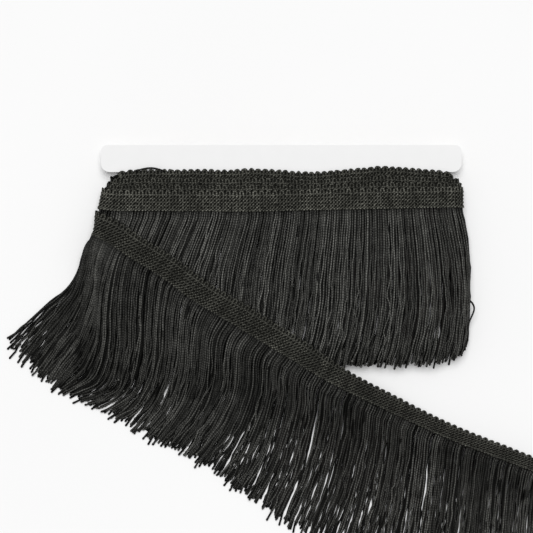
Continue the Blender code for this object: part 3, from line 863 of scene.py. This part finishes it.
def yarn_tree():
    """Makes knitted yarns with knotted tips from their guide lines."""
    graph, inputs = new_tree("Yarns along guides", {
        "Knob": "Object", "Rings": "Int", "Sides": "Int", "Radius": "Float",
        "Wander": "Float", "Wave": "Float", "Seed": "Float", "Material": "Material",
    })
    guides = graph.node("GeometryNodeMeshToCurve", {"Mesh": inputs["Geometry"]})
    smooth = graph.node("GeometryNodeCurveSplineType", {"Curve": guides}, spline_type="CATMULL_ROM")
    sockets = {"Curve": smooth, "Count": inputs["Rings"]}
    rings = graph.node("GeometryNodeResampleCurve", sockets, mode="COUNT")
    depth = graph.node("GeometryNodeSplineParameter")
    strand = graph.named("strand")
    drawn = graph.place()
    sockets = {"Value": drawn, "Iterations": SMOOTHING_STEPS}
    softened = graph.node("GeometryNodeBlurAttribute", sockets, data_type="FLOAT_VECTOR")
    inner = (depth.at_most(1.0 - depth) * SMOOTHING_ONSET).at_most(1.0)
    place = drawn + (softened - drawn) * inner
    shared = graph.noise(
        place, SHARED_SIZE, 1.0, "Color", W=strand * SHARED_STEP + inputs["Seed"]
    ) - 0.5
    own = graph.noise(
        place, inputs["Wave"], 2.0, "Color", W=strand * OWN_STEP + inputs["Seed"]
    ) - 0.5
    growth = (depth * DRIFT_GROWTH + ROOT_DRIFT) * inputs["Wander"]
    lift = (depth * LIFT_ONSET).at_most(1.0) * inputs["Wander"] * LIFT_SHARE
    own_way = own * OWN_STRENGTH * graph.named("freedom")
    drift = (shared * SHARED_STRENGTH + own_way) * graph.vector(X=growth, Y=growth, Z=lift)
    laid = graph.move(rings, keep_above(graph, place + drift, inputs["Radius"]))
    measured = graph.keep(laid, "along", depth.pick("Length"))
    sockets = {"Resolution": inputs["Sides"], "Radius": 1.0}
    circle = graph.node("GeometryNodeCurvePrimitiveCircle", sockets, mode="RADIUS")
    tubes = graph.node("GeometryNodeCurveToMesh", {
        "Curve": measured, "Profile Curve": graph.keep(circle, "rim", graph.place(), "FLOAT_VECTOR"),
        "Scale": inputs["Radius"], "Fill Caps": True,
    })
    tangent = graph.node("GeometryNodeInputTangent")
    knobs = graph.node("GeometryNodeInstanceOnPoints", {
        "Points": measured, "Instance": graph.shape_of(inputs["Knob"]),
        "Selection": graph.node(
            "GeometryNodeCurveEndpointSelection", {"Start Size": 0, "End Size": 1}
        ),
        "Rotation": graph.node("FunctionNodeAlignRotationToVector", {"Vector": tangent}, axis="Z"),
    })
    joined = graph.node("GeometryNodeJoinGeometry", {"Geometry": [tubes, knobs]})
    return end_tree(graph, joined, inputs["Material"])


def grow(name, guide_mesh, tree, values):
    """Run a tree on a guide mesh and keep the result as a plain mesh at the origin."""
    guide = link_object(name + "_guide", guide_mesh)
    modifier = guide.modifiers.new(tree.name, "NODES")
    modifier.node_group = tree
    for item in tree.interface.items_tree:
        if item.in_out == "INPUT" and item.name in values:
            modifier[item.identifier] = values[item.name]
    bpy.context.view_layer.update()
    depsgraph = bpy.context.evaluated_depsgraph_get()
    mesh = bpy.data.meshes.new_from_object(
        guide.evaluated_get(depsgraph), preserve_all_data_layers=True, depsgraph=depsgraph
    )
    mesh.name = name
    if not mesh.polygons:
        raise RuntimeError(name + ": the tree made no faces")
    bpy.data.objects.remove(guide, do_unlink=True)
    return link_object(name, mesh)


def retire(*helpers):
    """Take away the patterns that the trees have used."""
    for helper in helpers:
        bpy.data.objects.remove(helper, do_unlink=True)


def ride(piece, slot, *nodes):
    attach(piece, "root")
    if nodes:
        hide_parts(*nodes)


# The heading pieces

PATTERN_WIDTH = 15.4 * MM
TAPE_STEP = 2.1 * MM
TAPE_EDGES = (-6.5 * MM, 6.1 * MM)
TAPE_TOP = 0.10 * MM
TAPE_ROUNDING = 0.3 * MM
WOUND_YARN_NAMES = ["wound_yarns_%d" % turn for turn in range(1, TURNS + 1)]
WOUND_BRAID_NAMES = ["wound_braid_%d" % turn for turn in range(1, TURNS + 1)]
# By how much each turn's repeats are set off from those of the turn before
REPEAT_OFFSET = 0.37
EVEN = 0.60 * MM
UNEVEN = 1.5 * MM


def tape_mesh(name, runs, scale, thickness):
    """The woven ground as one closed strip along the runs, and its length."""
    low, high = [edge * scale for edge in TAPE_EDGES]
    bottom = TAPE_TOP - thickness
    middle = (TAPE_TOP + bottom) / 2
    inner = (low + TAPE_ROUNDING, (low + high) / 2, high - TAPE_ROUNDING)
    section = [(low, middle), *[(v, TAPE_TOP) for v in inner]]
    section += [(high, middle), *[(v, bottom) for v in reversed(inner)]]
    points = []
    cloth = []
    travelled = 0.0
    for run in runs:
        count = int(run.length / TAPE_STEP)
        for index in range(count):
            along = run.length * index / count
            centre, across, outward = run.frame(along)
            for v, w in section:
                points.append(centre + SHIFT + across * v + outward * w)
                cloth.append((travelled + along, v, w))
        travelled += run.length
    sides = len(section)
    last = len(points) - sides
    faces = []
    for ring in range(0, last, sides):
        for corner in range(sides):
            a = ring + corner
            b = ring + (corner + 1) % sides
            faces.append((a, b, b + sides, a + sides))
    faces.append(list(range(sides)))
    faces.append([last + corner for corner in reversed(range(sides))])
    mesh = mesh_from(name, points, faces)
    store(mesh, "cloth", cloth)
    close_outwards(mesh)
    return mesh, travelled


def lay_tape(context, name, node, ground, runs, width):
    """Lay the woven ground of one stretch in place of its node, and note its flat length."""
    scene = context.scene
    mesh, length = tape_mesh(name, runs, width / PATTERN_WIDTH, scene.trim_sizes.tape_thickness)
    mesh.materials.append(ground_material(ground, scene.trim_colours.ground))
    tape = link_object(name, mesh)
    tape["flat_length"] = length
    ride(tape, "heading", node)


def lay_heading(context, name, run, tree, pattern, thread, width, start, unevenness):
    """Cover a run with repeats of the heading."""
    count = int((run.length - start) / context.scene.trim_sizes.repeat)
    guide = mesh_from(
        name, run.middles + SHIFT, edges=[(i, i + 1) for i in range(len(run.middles) - 1)]
    )
    store(guide, "across", run.acrosses)
    store(guide, "outward", run.outwards)
    braid = grow(name, guide, tree, {
        "Repeat": pattern, "Repeats": count, "Pitch": (run.length - start) / count,
        "Start": start, "Width Scale": width / PATTERN_WIDTH, "Unevenness": unevenness,
        "Material": thread,
    })
    ride(braid, "heading")


class TRIM_OT_card(bpy.types.Operator):
    """Give the CAD card its board and its cut edge"""

    bl_idname = "trim.card"
    bl_label = "Card"

    def execute(self, context):
        colours = context.scene.trim_colours
        material = board_material("white pressed board", colours.board, colours.kraft)
        for material_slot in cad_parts["card"].material_slots:
            material_slot.material = material
        return {"FINISHED"}


class TRIM_OT_wound_heading(bpy.types.Operator):
    """Wind the heading round the card in four turns"""

    bl_idname = "trim.wound_heading"
    bl_label = "Wound heading"

    def execute(self, context):
        sizes = context.scene.trim_sizes
        colour = context.scene.trim_colours.cord
        width = sizes.wound_width
        runs = [wound_run(turn, width) for turn in range(1, TURNS + 1)]
        lay_tape(context, "wound_tape", "wound_heading", "black woven ground, wound", runs, width)
        inner = thread_material("black heading cord, inner turns", colour)
        outer = thread_material("black heading cord, last turn", colour)
        tree = heading_tree()
        full = heading_repeat("full_repeat", CROSS_ROWS, WOUND_CHAIN_HIGHLIGHT)
        plain = heading_repeat("plain_repeat", PLAIN_CROSS_ROWS, None)
        for turn, (name, run) in enumerate(zip(WOUND_BRAID_NAMES, runs), start=1):
            start = sizes.repeat * ((turn * REPEAT_OFFSET) % 1.0) if turn > 1 else 0.0
            pattern, thread, uneven = (full, outer, EVEN) if turn == TURNS else (plain, inner, UNEVEN)
            lay_heading(context, name, run, tree, pattern, thread, width, start, uneven)
        retire(full, plain)
        return {"FINISHED"}


class TRIM_OT_loose_heading(bpy.types.Operator):
    """Lay the loose end of the heading across the winding"""

    bl_idname = "trim.loose_heading"
    bl_label = "Loose heading"

    def execute(self, context):
        width = context.scene.trim_sizes.loose_width
        run = loose_run()
        lay_tape(context, "loose_tape", "loose_heading", "black woven ground, loose", [run], width)
        thread = thread_material("black heading cord, loose", context.scene.trim_colours.cord)
        full = heading_repeat("full_repeat_loose", CROSS_ROWS, LOOSE_CHAIN_HIGHLIGHT)
        lay_heading(context, "loose_braid", run, heading_tree(), full, thread, width, 0.0, EVEN)
        retire(full)
        return {"FINISHED"}


# The yarns

# How freely a yarn takes its own way, and the share of yarns that stray more, and how much
FREEDOM = (0.5, 1.1)
STRAYING_SHARE = 0.07
STRAYING = 2.6


class Guides:
    """Collects the guide lines of yarns, each with its number, its shade and where it faces."""

    def __init__(self, seed):
        self.random = random.Random(seed)
        self.points = []
        self.edges = []
        self.values = {"strand": [], "shade": [], "freedom": [], "outward": []}
        self.count = 0

    def add(self, path, darkest=0.0, lightest=1.0, tone=1.0, outward=(0.0, 0.0, 1.0)):
        first = len(self.points)
        shade = self.random.uniform(darkest, lightest) * tone
        freedom = self.random.uniform(*FREEDOM)
        if self.random.random() < STRAYING_SHARE:
            freedom *= STRAYING
        path = np.array(path)
        forward = np.gradient(path, axis=0)
        forward /= np.linalg.norm(forward, axis=1)[:, None]
        upright = np.array(outward) - forward * (forward @ np.array(outward))[:, None]
        for index, point in enumerate(path):
            self.points.append(point + SHIFT)
            row = (self.count, shade, freedom, upright[index] / np.linalg.norm(upright[index]))
            for values, value in zip(self.values.values(), row):
                values.append(value)
            if index:
                self.edges.append((first + index - 1, first + index))
        self.count += 1

    def mesh(self, name):
        mesh = mesh_from(name, self.points, edges=self.edges)
        for attribute, values in self.values.items():
            store(mesh, attribute, values)
        return mesh


LIGHTEST_CLUMP = 1.10


class Clumps:
    """Groups neighbouring yarns, which draw together and share a tone and a length."""

    def __init__(self, length, shortest, longest, darkest, rng):
        self.edges = [0.0]
        while self.edges[-1] < length:
            self.edges.append(self.edges[-1] + rng.uniform(shortest, longest))
        self.tones = [rng.uniform(darkest, LIGHTEST_CLUMP) for edge in self.edges]
        self.longer = [rng.uniform(-1.0, 1.0) for edge in self.edges]

    def read(self, along):
        """The middle of the clump at a place, its tone and how much longer it is."""
        index = int(np.searchsorted(self.edges, along, side="right"))
        index = min(max(index, 1), len(self.edges) - 1)
        middle = (self.edges[index - 1] + self.edges[index]) / 2
        return middle, self.tones[index], self.longer[index]


KNOB_LENGTH = 1.35


def make_knob(radius):
    """The small knot at the tip of a yarn."""
    bm = bmesh.new()
    bmesh.ops.create_uvsphere(bm, u_segments=6, v_segments=5, radius=radius)
    for vertex in bm.verts:
        vertex.co.z = vertex.co.z * KNOB_LENGTH - radius * 0.5
    return link_object("tip_knob", mesh_of("tip_knob", bm))


def grow_yarns(name, guides, tree, knob, thread, rings, sides, radius, wander=0.0, wave=10 * MM, seed=1.0):
    """Yarns along their guides."""
    return grow(name, guides.mesh(name), tree, {
        "Knob": knob, "Rings": rings, "Sides": sides, "Radius": radius, "Wander": wander,
        "Wave": wave, "Seed": seed, "Material": thread,
    })


def fold_degrees(side, share):
    """The angle of a place on the right or left fold."""
    return (90 if side == "right" else 270) - 180 * share


def facing(side, share):
    """The direction that a place round the card faces."""
    if side in {"front", "back"}:
        return (0.0, 0.0, 1.0 if side == "front" else -1.0)
    angle = math.radians(fold_degrees(side, share))
    return (math.cos(angle), 0.0, math.sin(angle))


def body_place(y, side, share, level):
    """The x and z among the wound yarns: side and share round the card, level inside out."""
    row = YARN_BODY.at(-y)
    left, right, front, back = row[0::2] + (row[1::2] - row[0::2]) * level
    start = row[0] + FOLD_CORNER
    stop = row[2] - FOLD_CORNER
    if side == "front":
        return start + (stop - start) * share, front
    if side == "back":
        return stop + (start - stop) * share, back
    degrees = fold_degrees(side, share)
    if side == "right":
        return fold_place(stop, right - stop, front, back, degrees)
    return fold_place(start, start - left, front, back, degrees)


def wound_side(run, along):
    """Which side of the card a place on a turn is on, and how far along that side."""
    start, stop = STRAIGHT_START, STRAIGHT_STOP
    x, y, z = run.read(run.middles, along)
    middle = (FRONT_BOTTOM + BACK_TOP) / 2
    if x < start:
        return "left", 0.5 + math.atan2(z - middle, start - x) / math.pi
    if x > stop:
        return "right", 0.5 - math.atan2(z - middle, x - stop) / math.pi
    if z > middle:
        return "front", (x - start) / (stop - start)
    return "back", (stop - x) / (stop - start)


YARN_SPACING = 2.1 * MM
# How far in from the heading's lower edge a root lies, and how many millimetres it is sunk
ROOT_INSET = 0.9 * MM
ROOT_SUNK = 0.45
WOUND_DEPTHS = (0.03, 0.12, 0.25, 0.42, 0.60, 0.76, 0.88, 0.95, 1.0)
# The y at which a tip is looked up, how far tips differ, and how many millimetres a clump
# can be longer or shorter
TIP_LEVEL = -0.12
TIP_SPREAD = 0.8 * MM
CLUMP_LENGTH = 0.7
# The share of the tips that hang lower than the rest, and how many millimetres lower
LOW_SHARE = 0.06
LOW_TIPS = (1.0, 3.0)
# Below this y a root no longer shortens its yarn; above it, the yarn ends higher by a share
TIP_FOLLOWS = -0.0395
TIP_FOLLOW_SHARE = 0.8
# How strongly a yarn is drawn to the middle of its clump, and how that grows to its tip
CLUMP_PULL = 0.30
CLUMP_POWER = 1.2
LEAN_HEIGHT = 42 * MM
# How far the tips sweep to the left in the middle, fading to nothing this far out
TIP_LEAN = 7.0 * MM
TIP_LEAN_REACH = 0.1094
ROOT_BLEND = 0.12


def wound_yarn(run, along, level, clump_place, longer, rng, width):
    """The guide of one wound yarn, from its root in the heading to its tip."""
    centre, across, outward = run.frame(along)
    side, share = wound_side(run, along)
    clump_side, clump_share = wound_side(run, clump_place)
    root = centre - across * (width / 2 - ROOT_INSET) - outward * ROOT_SUNK * MM
    low_x = body_place(TIP_LEVEL, side, share, level)[0]
    tip_y = WOUND_TIPS.at(low_x)[0] + rng.gauss(0.0, TIP_SPREAD) - longer * CLUMP_LENGTH * MM
    if rng.random() < LOW_SHARE:
        tip_y -= rng.uniform(*LOW_TIPS) * MM
    tip_y += max(0.0, root[1] - TIP_FOLLOWS) * TIP_FOLLOW_SHARE
    path = [root]
    for depth in WOUND_DEPTHS:
        y = root[1] + (tip_y - root[1]) * depth
        x, z = body_place(y, side, share, level)
        if clump_side == side:
            clump_x = body_place(y, side, clump_share, level)[0]
            pull = CLUMP_PULL * depth**CLUMP_POWER
            x += (clump_x - x) * pull
        if side == "front":
            x -= WOUND_LEAN.at(root[0])[0] * smooth_step((root[1] - y) / LEAN_HEIGHT)
        x -= TIP_LEAN * depth**4 * max(0.0, 1.0 - (x / TIP_LEAN_REACH) ** 2)
        blend = smooth_step(depth / ROOT_BLEND)
        path.append((root[0] + (x - root[0]) * blend, y, root[2] + (z - root[2]) * blend))
    return path


# The yarns of each turn: each layer's level and its spacing as a share of the usual one,
# then the rings and sides of a yarn
WOUND_PIECES = (
    (((0.5, 1.0),), 16, 5),
    (((1.5, 1.0),), 16, 5),
    (((2.3, 1.0), (2.75, 1.0)), 18, 5),
    (((3.20, 1.75), (3.52, 1.0), (3.85, 0.71)), 24, 6),
)
# The darkest and lightest shade of the layers, the outermost last: the inner layers are painted darker, as
# painted shade under the outer ones, and within a layer the shade differs at random
LAYER_TONES_AND_PAINTED_SHADE = ((0.0, 0.20), (0.0, 0.45), (0.25, 1.0))
LEVEL_SPREAD = 0.16
WOUND_CLUMPS = (2.5 * MM, 7 * MM, 0.70)
WOUND_SPREAD = 0.3
WOUND_WANDER = 0.8
DRIFT_STEP = 3.1


class TRIM_OT_wound_yarns(bpy.types.Operator):
    """Hang the knitted yarns from the four turns"""

    bl_idname = "trim.wound_yarns"
    bl_label = "Wound yarns"

    def execute(self, context):
        sizes = context.scene.trim_sizes
        thread = thread_material("black chainette yarn, wound", context.scene.trim_colours.yarn)
        tree = yarn_tree()
        knob = make_knob(sizes.knob_radius)
        for turn, (layers, rings, sides) in enumerate(WOUND_PIECES, start=1):
            rng = random.Random(sizes.seed * 100 + turn)
            run = wound_run(turn, sizes.wound_width)
            guides = Guides(sizes.seed * 10 + turn)
            for number, (layer, spacing) in enumerate(layers):
                # the inner layers take darker shades: painted shade under the outer ones
                tones = LAYER_TONES_AND_PAINTED_SHADE[number - len(layers)]
                clumps = Clumps(run.length, *WOUND_CLUMPS, rng)
                step = YARN_SPACING * spacing
                offset = number / len(layers) * step
                for index in range(int((run.length - offset) / step)):
                    along = offset + index * step + rng.uniform(-WOUND_SPREAD, WOUND_SPREAD) * MM
                    along = min(max(along, 0.0), run.length)
                    side, share = wound_side(run, along)
                    if side == "back" and number % 2:
                        continue
                    level = (layer + rng.uniform(-LEVEL_SPREAD, LEVEL_SPREAD)) / TURNS
                    clump_place, tone, longer = clumps.read(along)
                    path = wound_yarn(run, along, level, clump_place, longer, rng, sizes.wound_width)
                    guides.add(path, *tones, tone, facing(side, share))
            yarns = grow_yarns(
                WOUND_YARN_NAMES[turn - 1], guides, tree, knob, thread, rings, sides,
                sizes.yarn_radius, sizes.yarn_wander * WOUND_WANDER, seed=turn * DRIFT_STEP,
            )
            ride(yarns, "yarn", "wound_fringe")
        retire(knob)
        return {"FINISHED"}


# The layers of the loose yarns from below: their height in millimetres, their darkest and
# lightest shade, and where they start and how far apart they are, as shares of the spacing
Layer = namedtuple("Layer", "height tones phase spacing")
# The lower layers are painted darker, as painted shade under the upper ones; within a layer the shade
# differs at random
LOOSE_LAYERS = (
    Layer(-0.60, (0.0, 0.1), 0.0, 1.4),
    Layer(-0.35, (0.0, 0.1), 1 / 3, 1.0),
    Layer(-0.05, (0.0, 0.3), 2 / 3, 1.0),
    Layer(0.25, (0.05, 0.62), 1 / 6, 1.0),
    Layer(0.60, (0.25, 1.0), 2 / 3, 0.74),
)
# The name of each piece, its first layer and the one after its last, the pattern of its
# drift, its rings, sides and thickness
LOOSE_PIECES = (
    ("loose_yarns_under", 0, 3, 11.3, 22, 5, 1.12),
    ("loose_yarns", 3, 5, 21.7, 30, 6, 1.0),
)
LOOSE_CLUMPS = (2 * MM, 5 * MM, 0.60)
LOOSE_SPREAD = 0.25
LOOSE_WANDER = 0.85
LOOSE_WAVE = 13 * MM
# How far the yarns sweep to the left below the winding, as the place of a root and a shift
LOOSE_SWEEP = SmoothTable(
    (0.0080, 0.0000), (0.0220, 0.0000), (0.0360, 0.0018), (0.0500, 0.0030), (0.0760, 0.0040),
    (0.1120, 0.0057), (0.1480, 0.0066), (0.1740, 0.0054), (0.2000, 0.0042), (0.2350, 0.0025),
    (0.2800, 0.0012), (0.3320, 0.0000),
)
# How much of that shift each part of a yarn takes: its shoulder, edge, landing and tip;
# and how far each part is drawn to the middle of its clump
SWEEP_SHARES = (0.0, -0.45, -0.35, 1.0)
LOOSE_PULLS = (0.03, 0.05, 0.08, 0.12)
# Where the fan at the left end stops, how close its yarns are, and the share of it where
# the tips are most ragged
FAN_END = 0.0360
FAN_SPACING = 0.42
RAGGED_END = FAN_END * 0.6
# The share of the yarns that is left out, as the place of a root and the share
LEFT_OUT = SmoothTable(
    (0.0000, 0.00), (0.0200, 0.00), (0.0300, 0.16), (0.0420, 0.22), (0.0800, 0.22), (0.0950, 0.10),
    (0.1250, 0.02), (0.1500, 0.04), (0.1700, 0.13), (0.2050, 0.15), (0.2350, 0.11), (0.2800, 0.08),
    (0.3320, 0.03),
)
# How far tips differ in length: in the fan, elsewhere, from clump to clump, and for the few
# that reach further, in millimetres
FAN_RAGGED = 2.8
RAGGED = 1.7
LOOSE_CLUMP_LENGTH = 2.6
LONG_TIPS = (1.0, 5.0)
# How far a root is raised off the heading, and how much more for each millimetre of its
# layer's height; and how much further the upper layers sweep
ROOT_RAISE = 0.10 * MM
LAYER_RAISE = 0.3
LAYER_SWEEP = 0.4
# The thickness of the layers where they lie on the surface, as a share of their height,
# how far a tip sinks below the landing, and the share of the sweep halfway to the tip
LAYER_DEPTH = 0.8
TIP_SINKS = 0.5 * MM
HALFWAY_SWEEP = 0.35
# No yarn grows from this last stretch of the heading
END_MARGIN = 1.0 * MM
# How the yarns come off the heading: the share of the way to the shoulder along X, then
# along Y and Z, at two places
BEND = (0.66, 0.32, 0.32)
CALM = (0.90, 0.66, 0.66)


def loose_yarn(run, along, layer, clump_place, longer, rng, width, radius):
    """The guide of one loose yarn: off the heading, over the edge and along the surface."""
    centre, across, outward = run.frame(along)
    raised = ROOT_RAISE + layer * LAYER_RAISE * MM
    root = centre - across * (width / 2 - ROOT_INSET) + outward * raised
    level = np.array([-across[0], -across[1], 0.0])
    level /= np.linalg.norm(level)
    leave = root + level * YARN_LEAVES
    sweep = LOOSE_SWEEP.at(along)[0] * (1.0 + LAYER_SWEEP * layer)
    lies = [LOOSE_LIE.at(along + (clump_place - along) * pull - sweep * share)
            for pull, share in zip(LOOSE_PULLS, SWEEP_SHARES)]
    rise = layer * MM
    shoulder = np.array(lies[0][0:3]) + (0.0, 0.0, rise)
    edge = np.array(lies[1][3:6]) + (0.0, 0.0, rise)
    height = radius + (layer - LOOSE_LAYERS[0].height) * LAYER_DEPTH * MM
    land = np.array([*lies[2][6:8], height])
    tip = np.array([*lies[3][8:10], max(radius, height - TIP_SINKS)])
    length = np.linalg.norm(tip - land)
    ragged = (FAN_RAGGED if along < RAGGED_END else RAGGED) * MM
    stretch = 1.0 + (rng.gauss(0.0, ragged) + longer * LOOSE_CLUMP_LENGTH * MM) / length
    if rng.random() < LOW_SHARE:
        stretch += rng.uniform(*LONG_TIPS) * MM / length
    tip = land + (tip - land) * stretch
    halfway = (land + tip) / 2 + (sweep * HALFWAY_SWEEP, 0.0, 0.0)
    bend, calm = [leave + (shoulder - leave) * shares for shares in (BEND, CALM)]
    return [root, leave, bend, calm, shoulder, edge, land, halfway, tip]


class TRIM_OT_loose_yarns(bpy.types.Operator):
    """Let the yarns of the loose end fall over the winding onto the surface"""

    bl_idname = "trim.loose_yarns"
    bl_label = "Loose yarns"

    def execute(self, context):
        sizes = context.scene.trim_sizes
        radius = sizes.yarn_radius
        thread = thread_material("black chainette yarn, loose", context.scene.trim_colours.yarn)
        rng = random.Random(sizes.seed * 1000)
        run = loose_run()
        knob = make_knob(sizes.knob_radius)
        tree = yarn_tree()
        for name, first, stop, seed, rings, sides, thickness in LOOSE_PIECES:
            guides = Guides(sizes.seed + first)
            for layer in LOOSE_LAYERS[first:stop]:
                clumps = Clumps(run.length, *LOOSE_CLUMPS, rng)
                along = LOOSE_YARNS_START + layer.phase * YARN_SPACING
                while along < run.length - END_MARGIN:
                    place = along + rng.uniform(-LOOSE_SPREAD, LOOSE_SPREAD) * MM
                    along += YARN_SPACING * (FAN_SPACING if along < FAN_END else layer.spacing)
                    if rng.random() < LEFT_OUT.at(along)[0]:
                        continue
                    clump_place, tone, longer = clumps.read(place)
                    path = loose_yarn(
                        run, place, layer.height, clump_place, longer, rng, sizes.loose_width, radius
                    )
                    guides.add(path, *layer.tones, tone)
            yarns = grow_yarns(
                name, guides, tree, knob, thread, rings, sides, radius * thickness,
                sizes.yarn_wander * LOOSE_WANDER, LOOSE_WAVE, seed,
            )
            ride(yarns, "yarn", "loose_fringe")
        retire(knob)
        return {"FINISHED"}


# Yarns that have strayed from the rest, and a thread that is pulled out of the heading
STRAYS = (
    ((0.1126, -0.0930, 0.0090), (0.1140, -0.0942, 0.0088), (0.1155, -0.0957, 0.0080),
     (0.1162, -0.0984, 0.0070), (0.1152, -0.1014, 0.0064), (0.1132, -0.1056, 0.0058),
     (0.1124, -0.1092, 0.0052), (0.1127, -0.1140, 0.0044), (0.1117, -0.1194, 0.0032),
     (0.1102, -0.1230, 0.0020)),
    ((-0.1560, -0.1100, 0.0016), (-0.1589, -0.1158, 0.0010), (-0.1624, -0.1212, 0.0010),
     (-0.1616, -0.1230, 0.0012), (-0.1574, -0.1197, 0.0016)),
)
STRAY_KNOB = 0.9
SNAG = ((-0.0876, -0.0160, 0.0096), (-0.0840, -0.0147, 0.0094), (-0.0788, -0.0138, 0.0092),
        (-0.0745, -0.0143, 0.0093), (-0.0700, -0.0158, 0.0096))
SNAG_RADIUS = 0.52 * MM
SNAG_KNOB = 0.25 * MM


class TRIM_OT_stray_yarns(bpy.types.Operator):
    """Add the few threads that have strayed from the rest"""

    bl_idname = "trim.stray_yarns"
    bl_label = "Stray threads"

    def execute(self, context):
        sizes = context.scene.trim_sizes
        thread = thread_material("black stray thread", context.scene.trim_colours.yarn)
        tree = yarn_tree()
        pieces = (
            ("stray_yarns", "yarn", STRAYS, sizes.knob_radius * STRAY_KNOB, 26, sizes.yarn_radius),
            ("snagged_thread", "heading", [SNAG], SNAG_KNOB, 20, SNAG_RADIUS),
        )
        for number, (name, slot, paths, knob_radius, rings, radius) in enumerate(pieces, start=1):
            guides = Guides(sizes.seed + number)
            for path in paths:
                guides.add(path)
            knob = make_knob(knob_radius)
            ride(grow_yarns(name, guides, tree, knob, thread, rings, CORD_SIDES, radius), slot)
            retire(knob)
        return {"FINISHED"}


class TRIM_OT_cloth(bpy.types.Operator):
    """A step kept for the cloth pieces; it changes nothing"""

    bl_idname = "trim.cloth"
    bl_label = "Cloth and its flat size"

    def execute(self, context):
        return {"FINISHED"}


# The stage

SURFACE_HALF = 2.5
WHITE = (1.0, 1.0, 1.0, 1.0)
SUN_WIDTH = 48.0
SUN_ELEVATION = 68.0
SENSOR_WIDTH = 36.0
# Where the middle of the picture lies, and how high the trim's face is
PICTURE_MIDDLE = (-0.01109, 0.07207)
FACE_HEIGHT = 0.008


class TRIM_OT_studio(bpy.types.Operator):
    """Set the pale surface, the soft light and the camera straight above"""

    bl_idname = "trim.studio"
    bl_label = "Surface, light and camera"

    def execute(self, context):
        scene = context.scene
        studio = scene.trim_studio
        bm = bmesh.new()
        bmesh.ops.create_grid(bm, x_segments=8, y_segments=8, size=SURFACE_HALF)
        mesh = mesh_of("surface", bm)
        mesh.materials.append(floor_material("white surface"))
        surface = link_object("surface", mesh)

        scene.world = bpy.data.worlds.new("white surroundings")
        scene.world.use_nodes = True
        sky = scene.world.node_tree.nodes["Background"]
        sky.inputs["Color"].default_value = WHITE
        sky.inputs["Strength"].default_value = studio.sky
        sun = bpy.data.lights.new("key light", "SUN")
        sun.energy = studio.key
        sun.angle = math.radians(SUN_WIDTH)
        link_object("key light", sun).rotation_euler = (math.radians(SUN_ELEVATION - 90), 0.0, 0.0)

        camera = bpy.data.cameras.new("camera")
        camera.sensor_width = SENSOR_WIDTH
        camera.lens = camera.sensor_width * studio.camera_height / studio.picture_width
        camera.clip_end = 20.0
        scene.camera = link_object("camera", camera)
        scene.camera.location = (*PICTURE_MIDDLE, studio.camera_height + FACE_HEIGHT)
        scene.view_settings.view_transform = "Standard"
        scene.view_settings.look = "None"
        return {"FINISHED"}


# The panel and the order of work

OPERATORS = (
    TRIM_OT_card, TRIM_OT_wound_heading, TRIM_OT_wound_yarns, TRIM_OT_loose_heading,
    TRIM_OT_loose_yarns, TRIM_OT_stray_yarns, TRIM_OT_cloth, TRIM_OT_studio,
)
GROUPS = {"trim_sizes": TrimSizes, "trim_colours": TrimColours, "trim_studio": StudioSizes}


class TRIM_PT_panel(bpy.types.Panel):
    """Lists the pieces of the trim and their sizes"""

    bl_idname = "TRIM_PT_panel"
    bl_label = "Fringe trim"
    bl_space_type = "VIEW_3D"
    bl_region_type = "UI"
    bl_category = "Trim"

    def draw(self, context):
        column = self.layout.column()
        for group_name in GROUPS:
            group = getattr(context.scene, group_name)
            for name in group.bl_rna.properties.keys():
                if name not in {"rna_type", "name"}:
                    column.prop(group, name)
        for operator in OPERATORS:
            column.operator(operator.bl_idname)


def register():
    for item in (*GROUPS.values(), *OPERATORS, TRIM_PT_panel):
        bpy.utils.register_class(item)
    for name, group in GROUPS.items():
        setattr(bpy.types.Scene, name, bpy.props.PointerProperty(type=group))


def unregister():
    for name in GROUPS:
        delattr(bpy.types.Scene, name)
    for item in (TRIM_PT_panel, *reversed(OPERATORS), *reversed(list(GROUPS.values()))):
        bpy.utils.unregister_class(item)


def main():
    """Build the trim on the frame."""
    register()
    bpy.ops.trim.card()
    bpy.ops.trim.wound_heading()
    bpy.ops.trim.wound_yarns()
    bpy.ops.trim.loose_heading()
    bpy.ops.trim.loose_yarns()
    bpy.ops.trim.stray_yarns()
    bpy.ops.trim.cloth()
    bpy.ops.trim.studio()


if __name__ == "__main__":
    main()
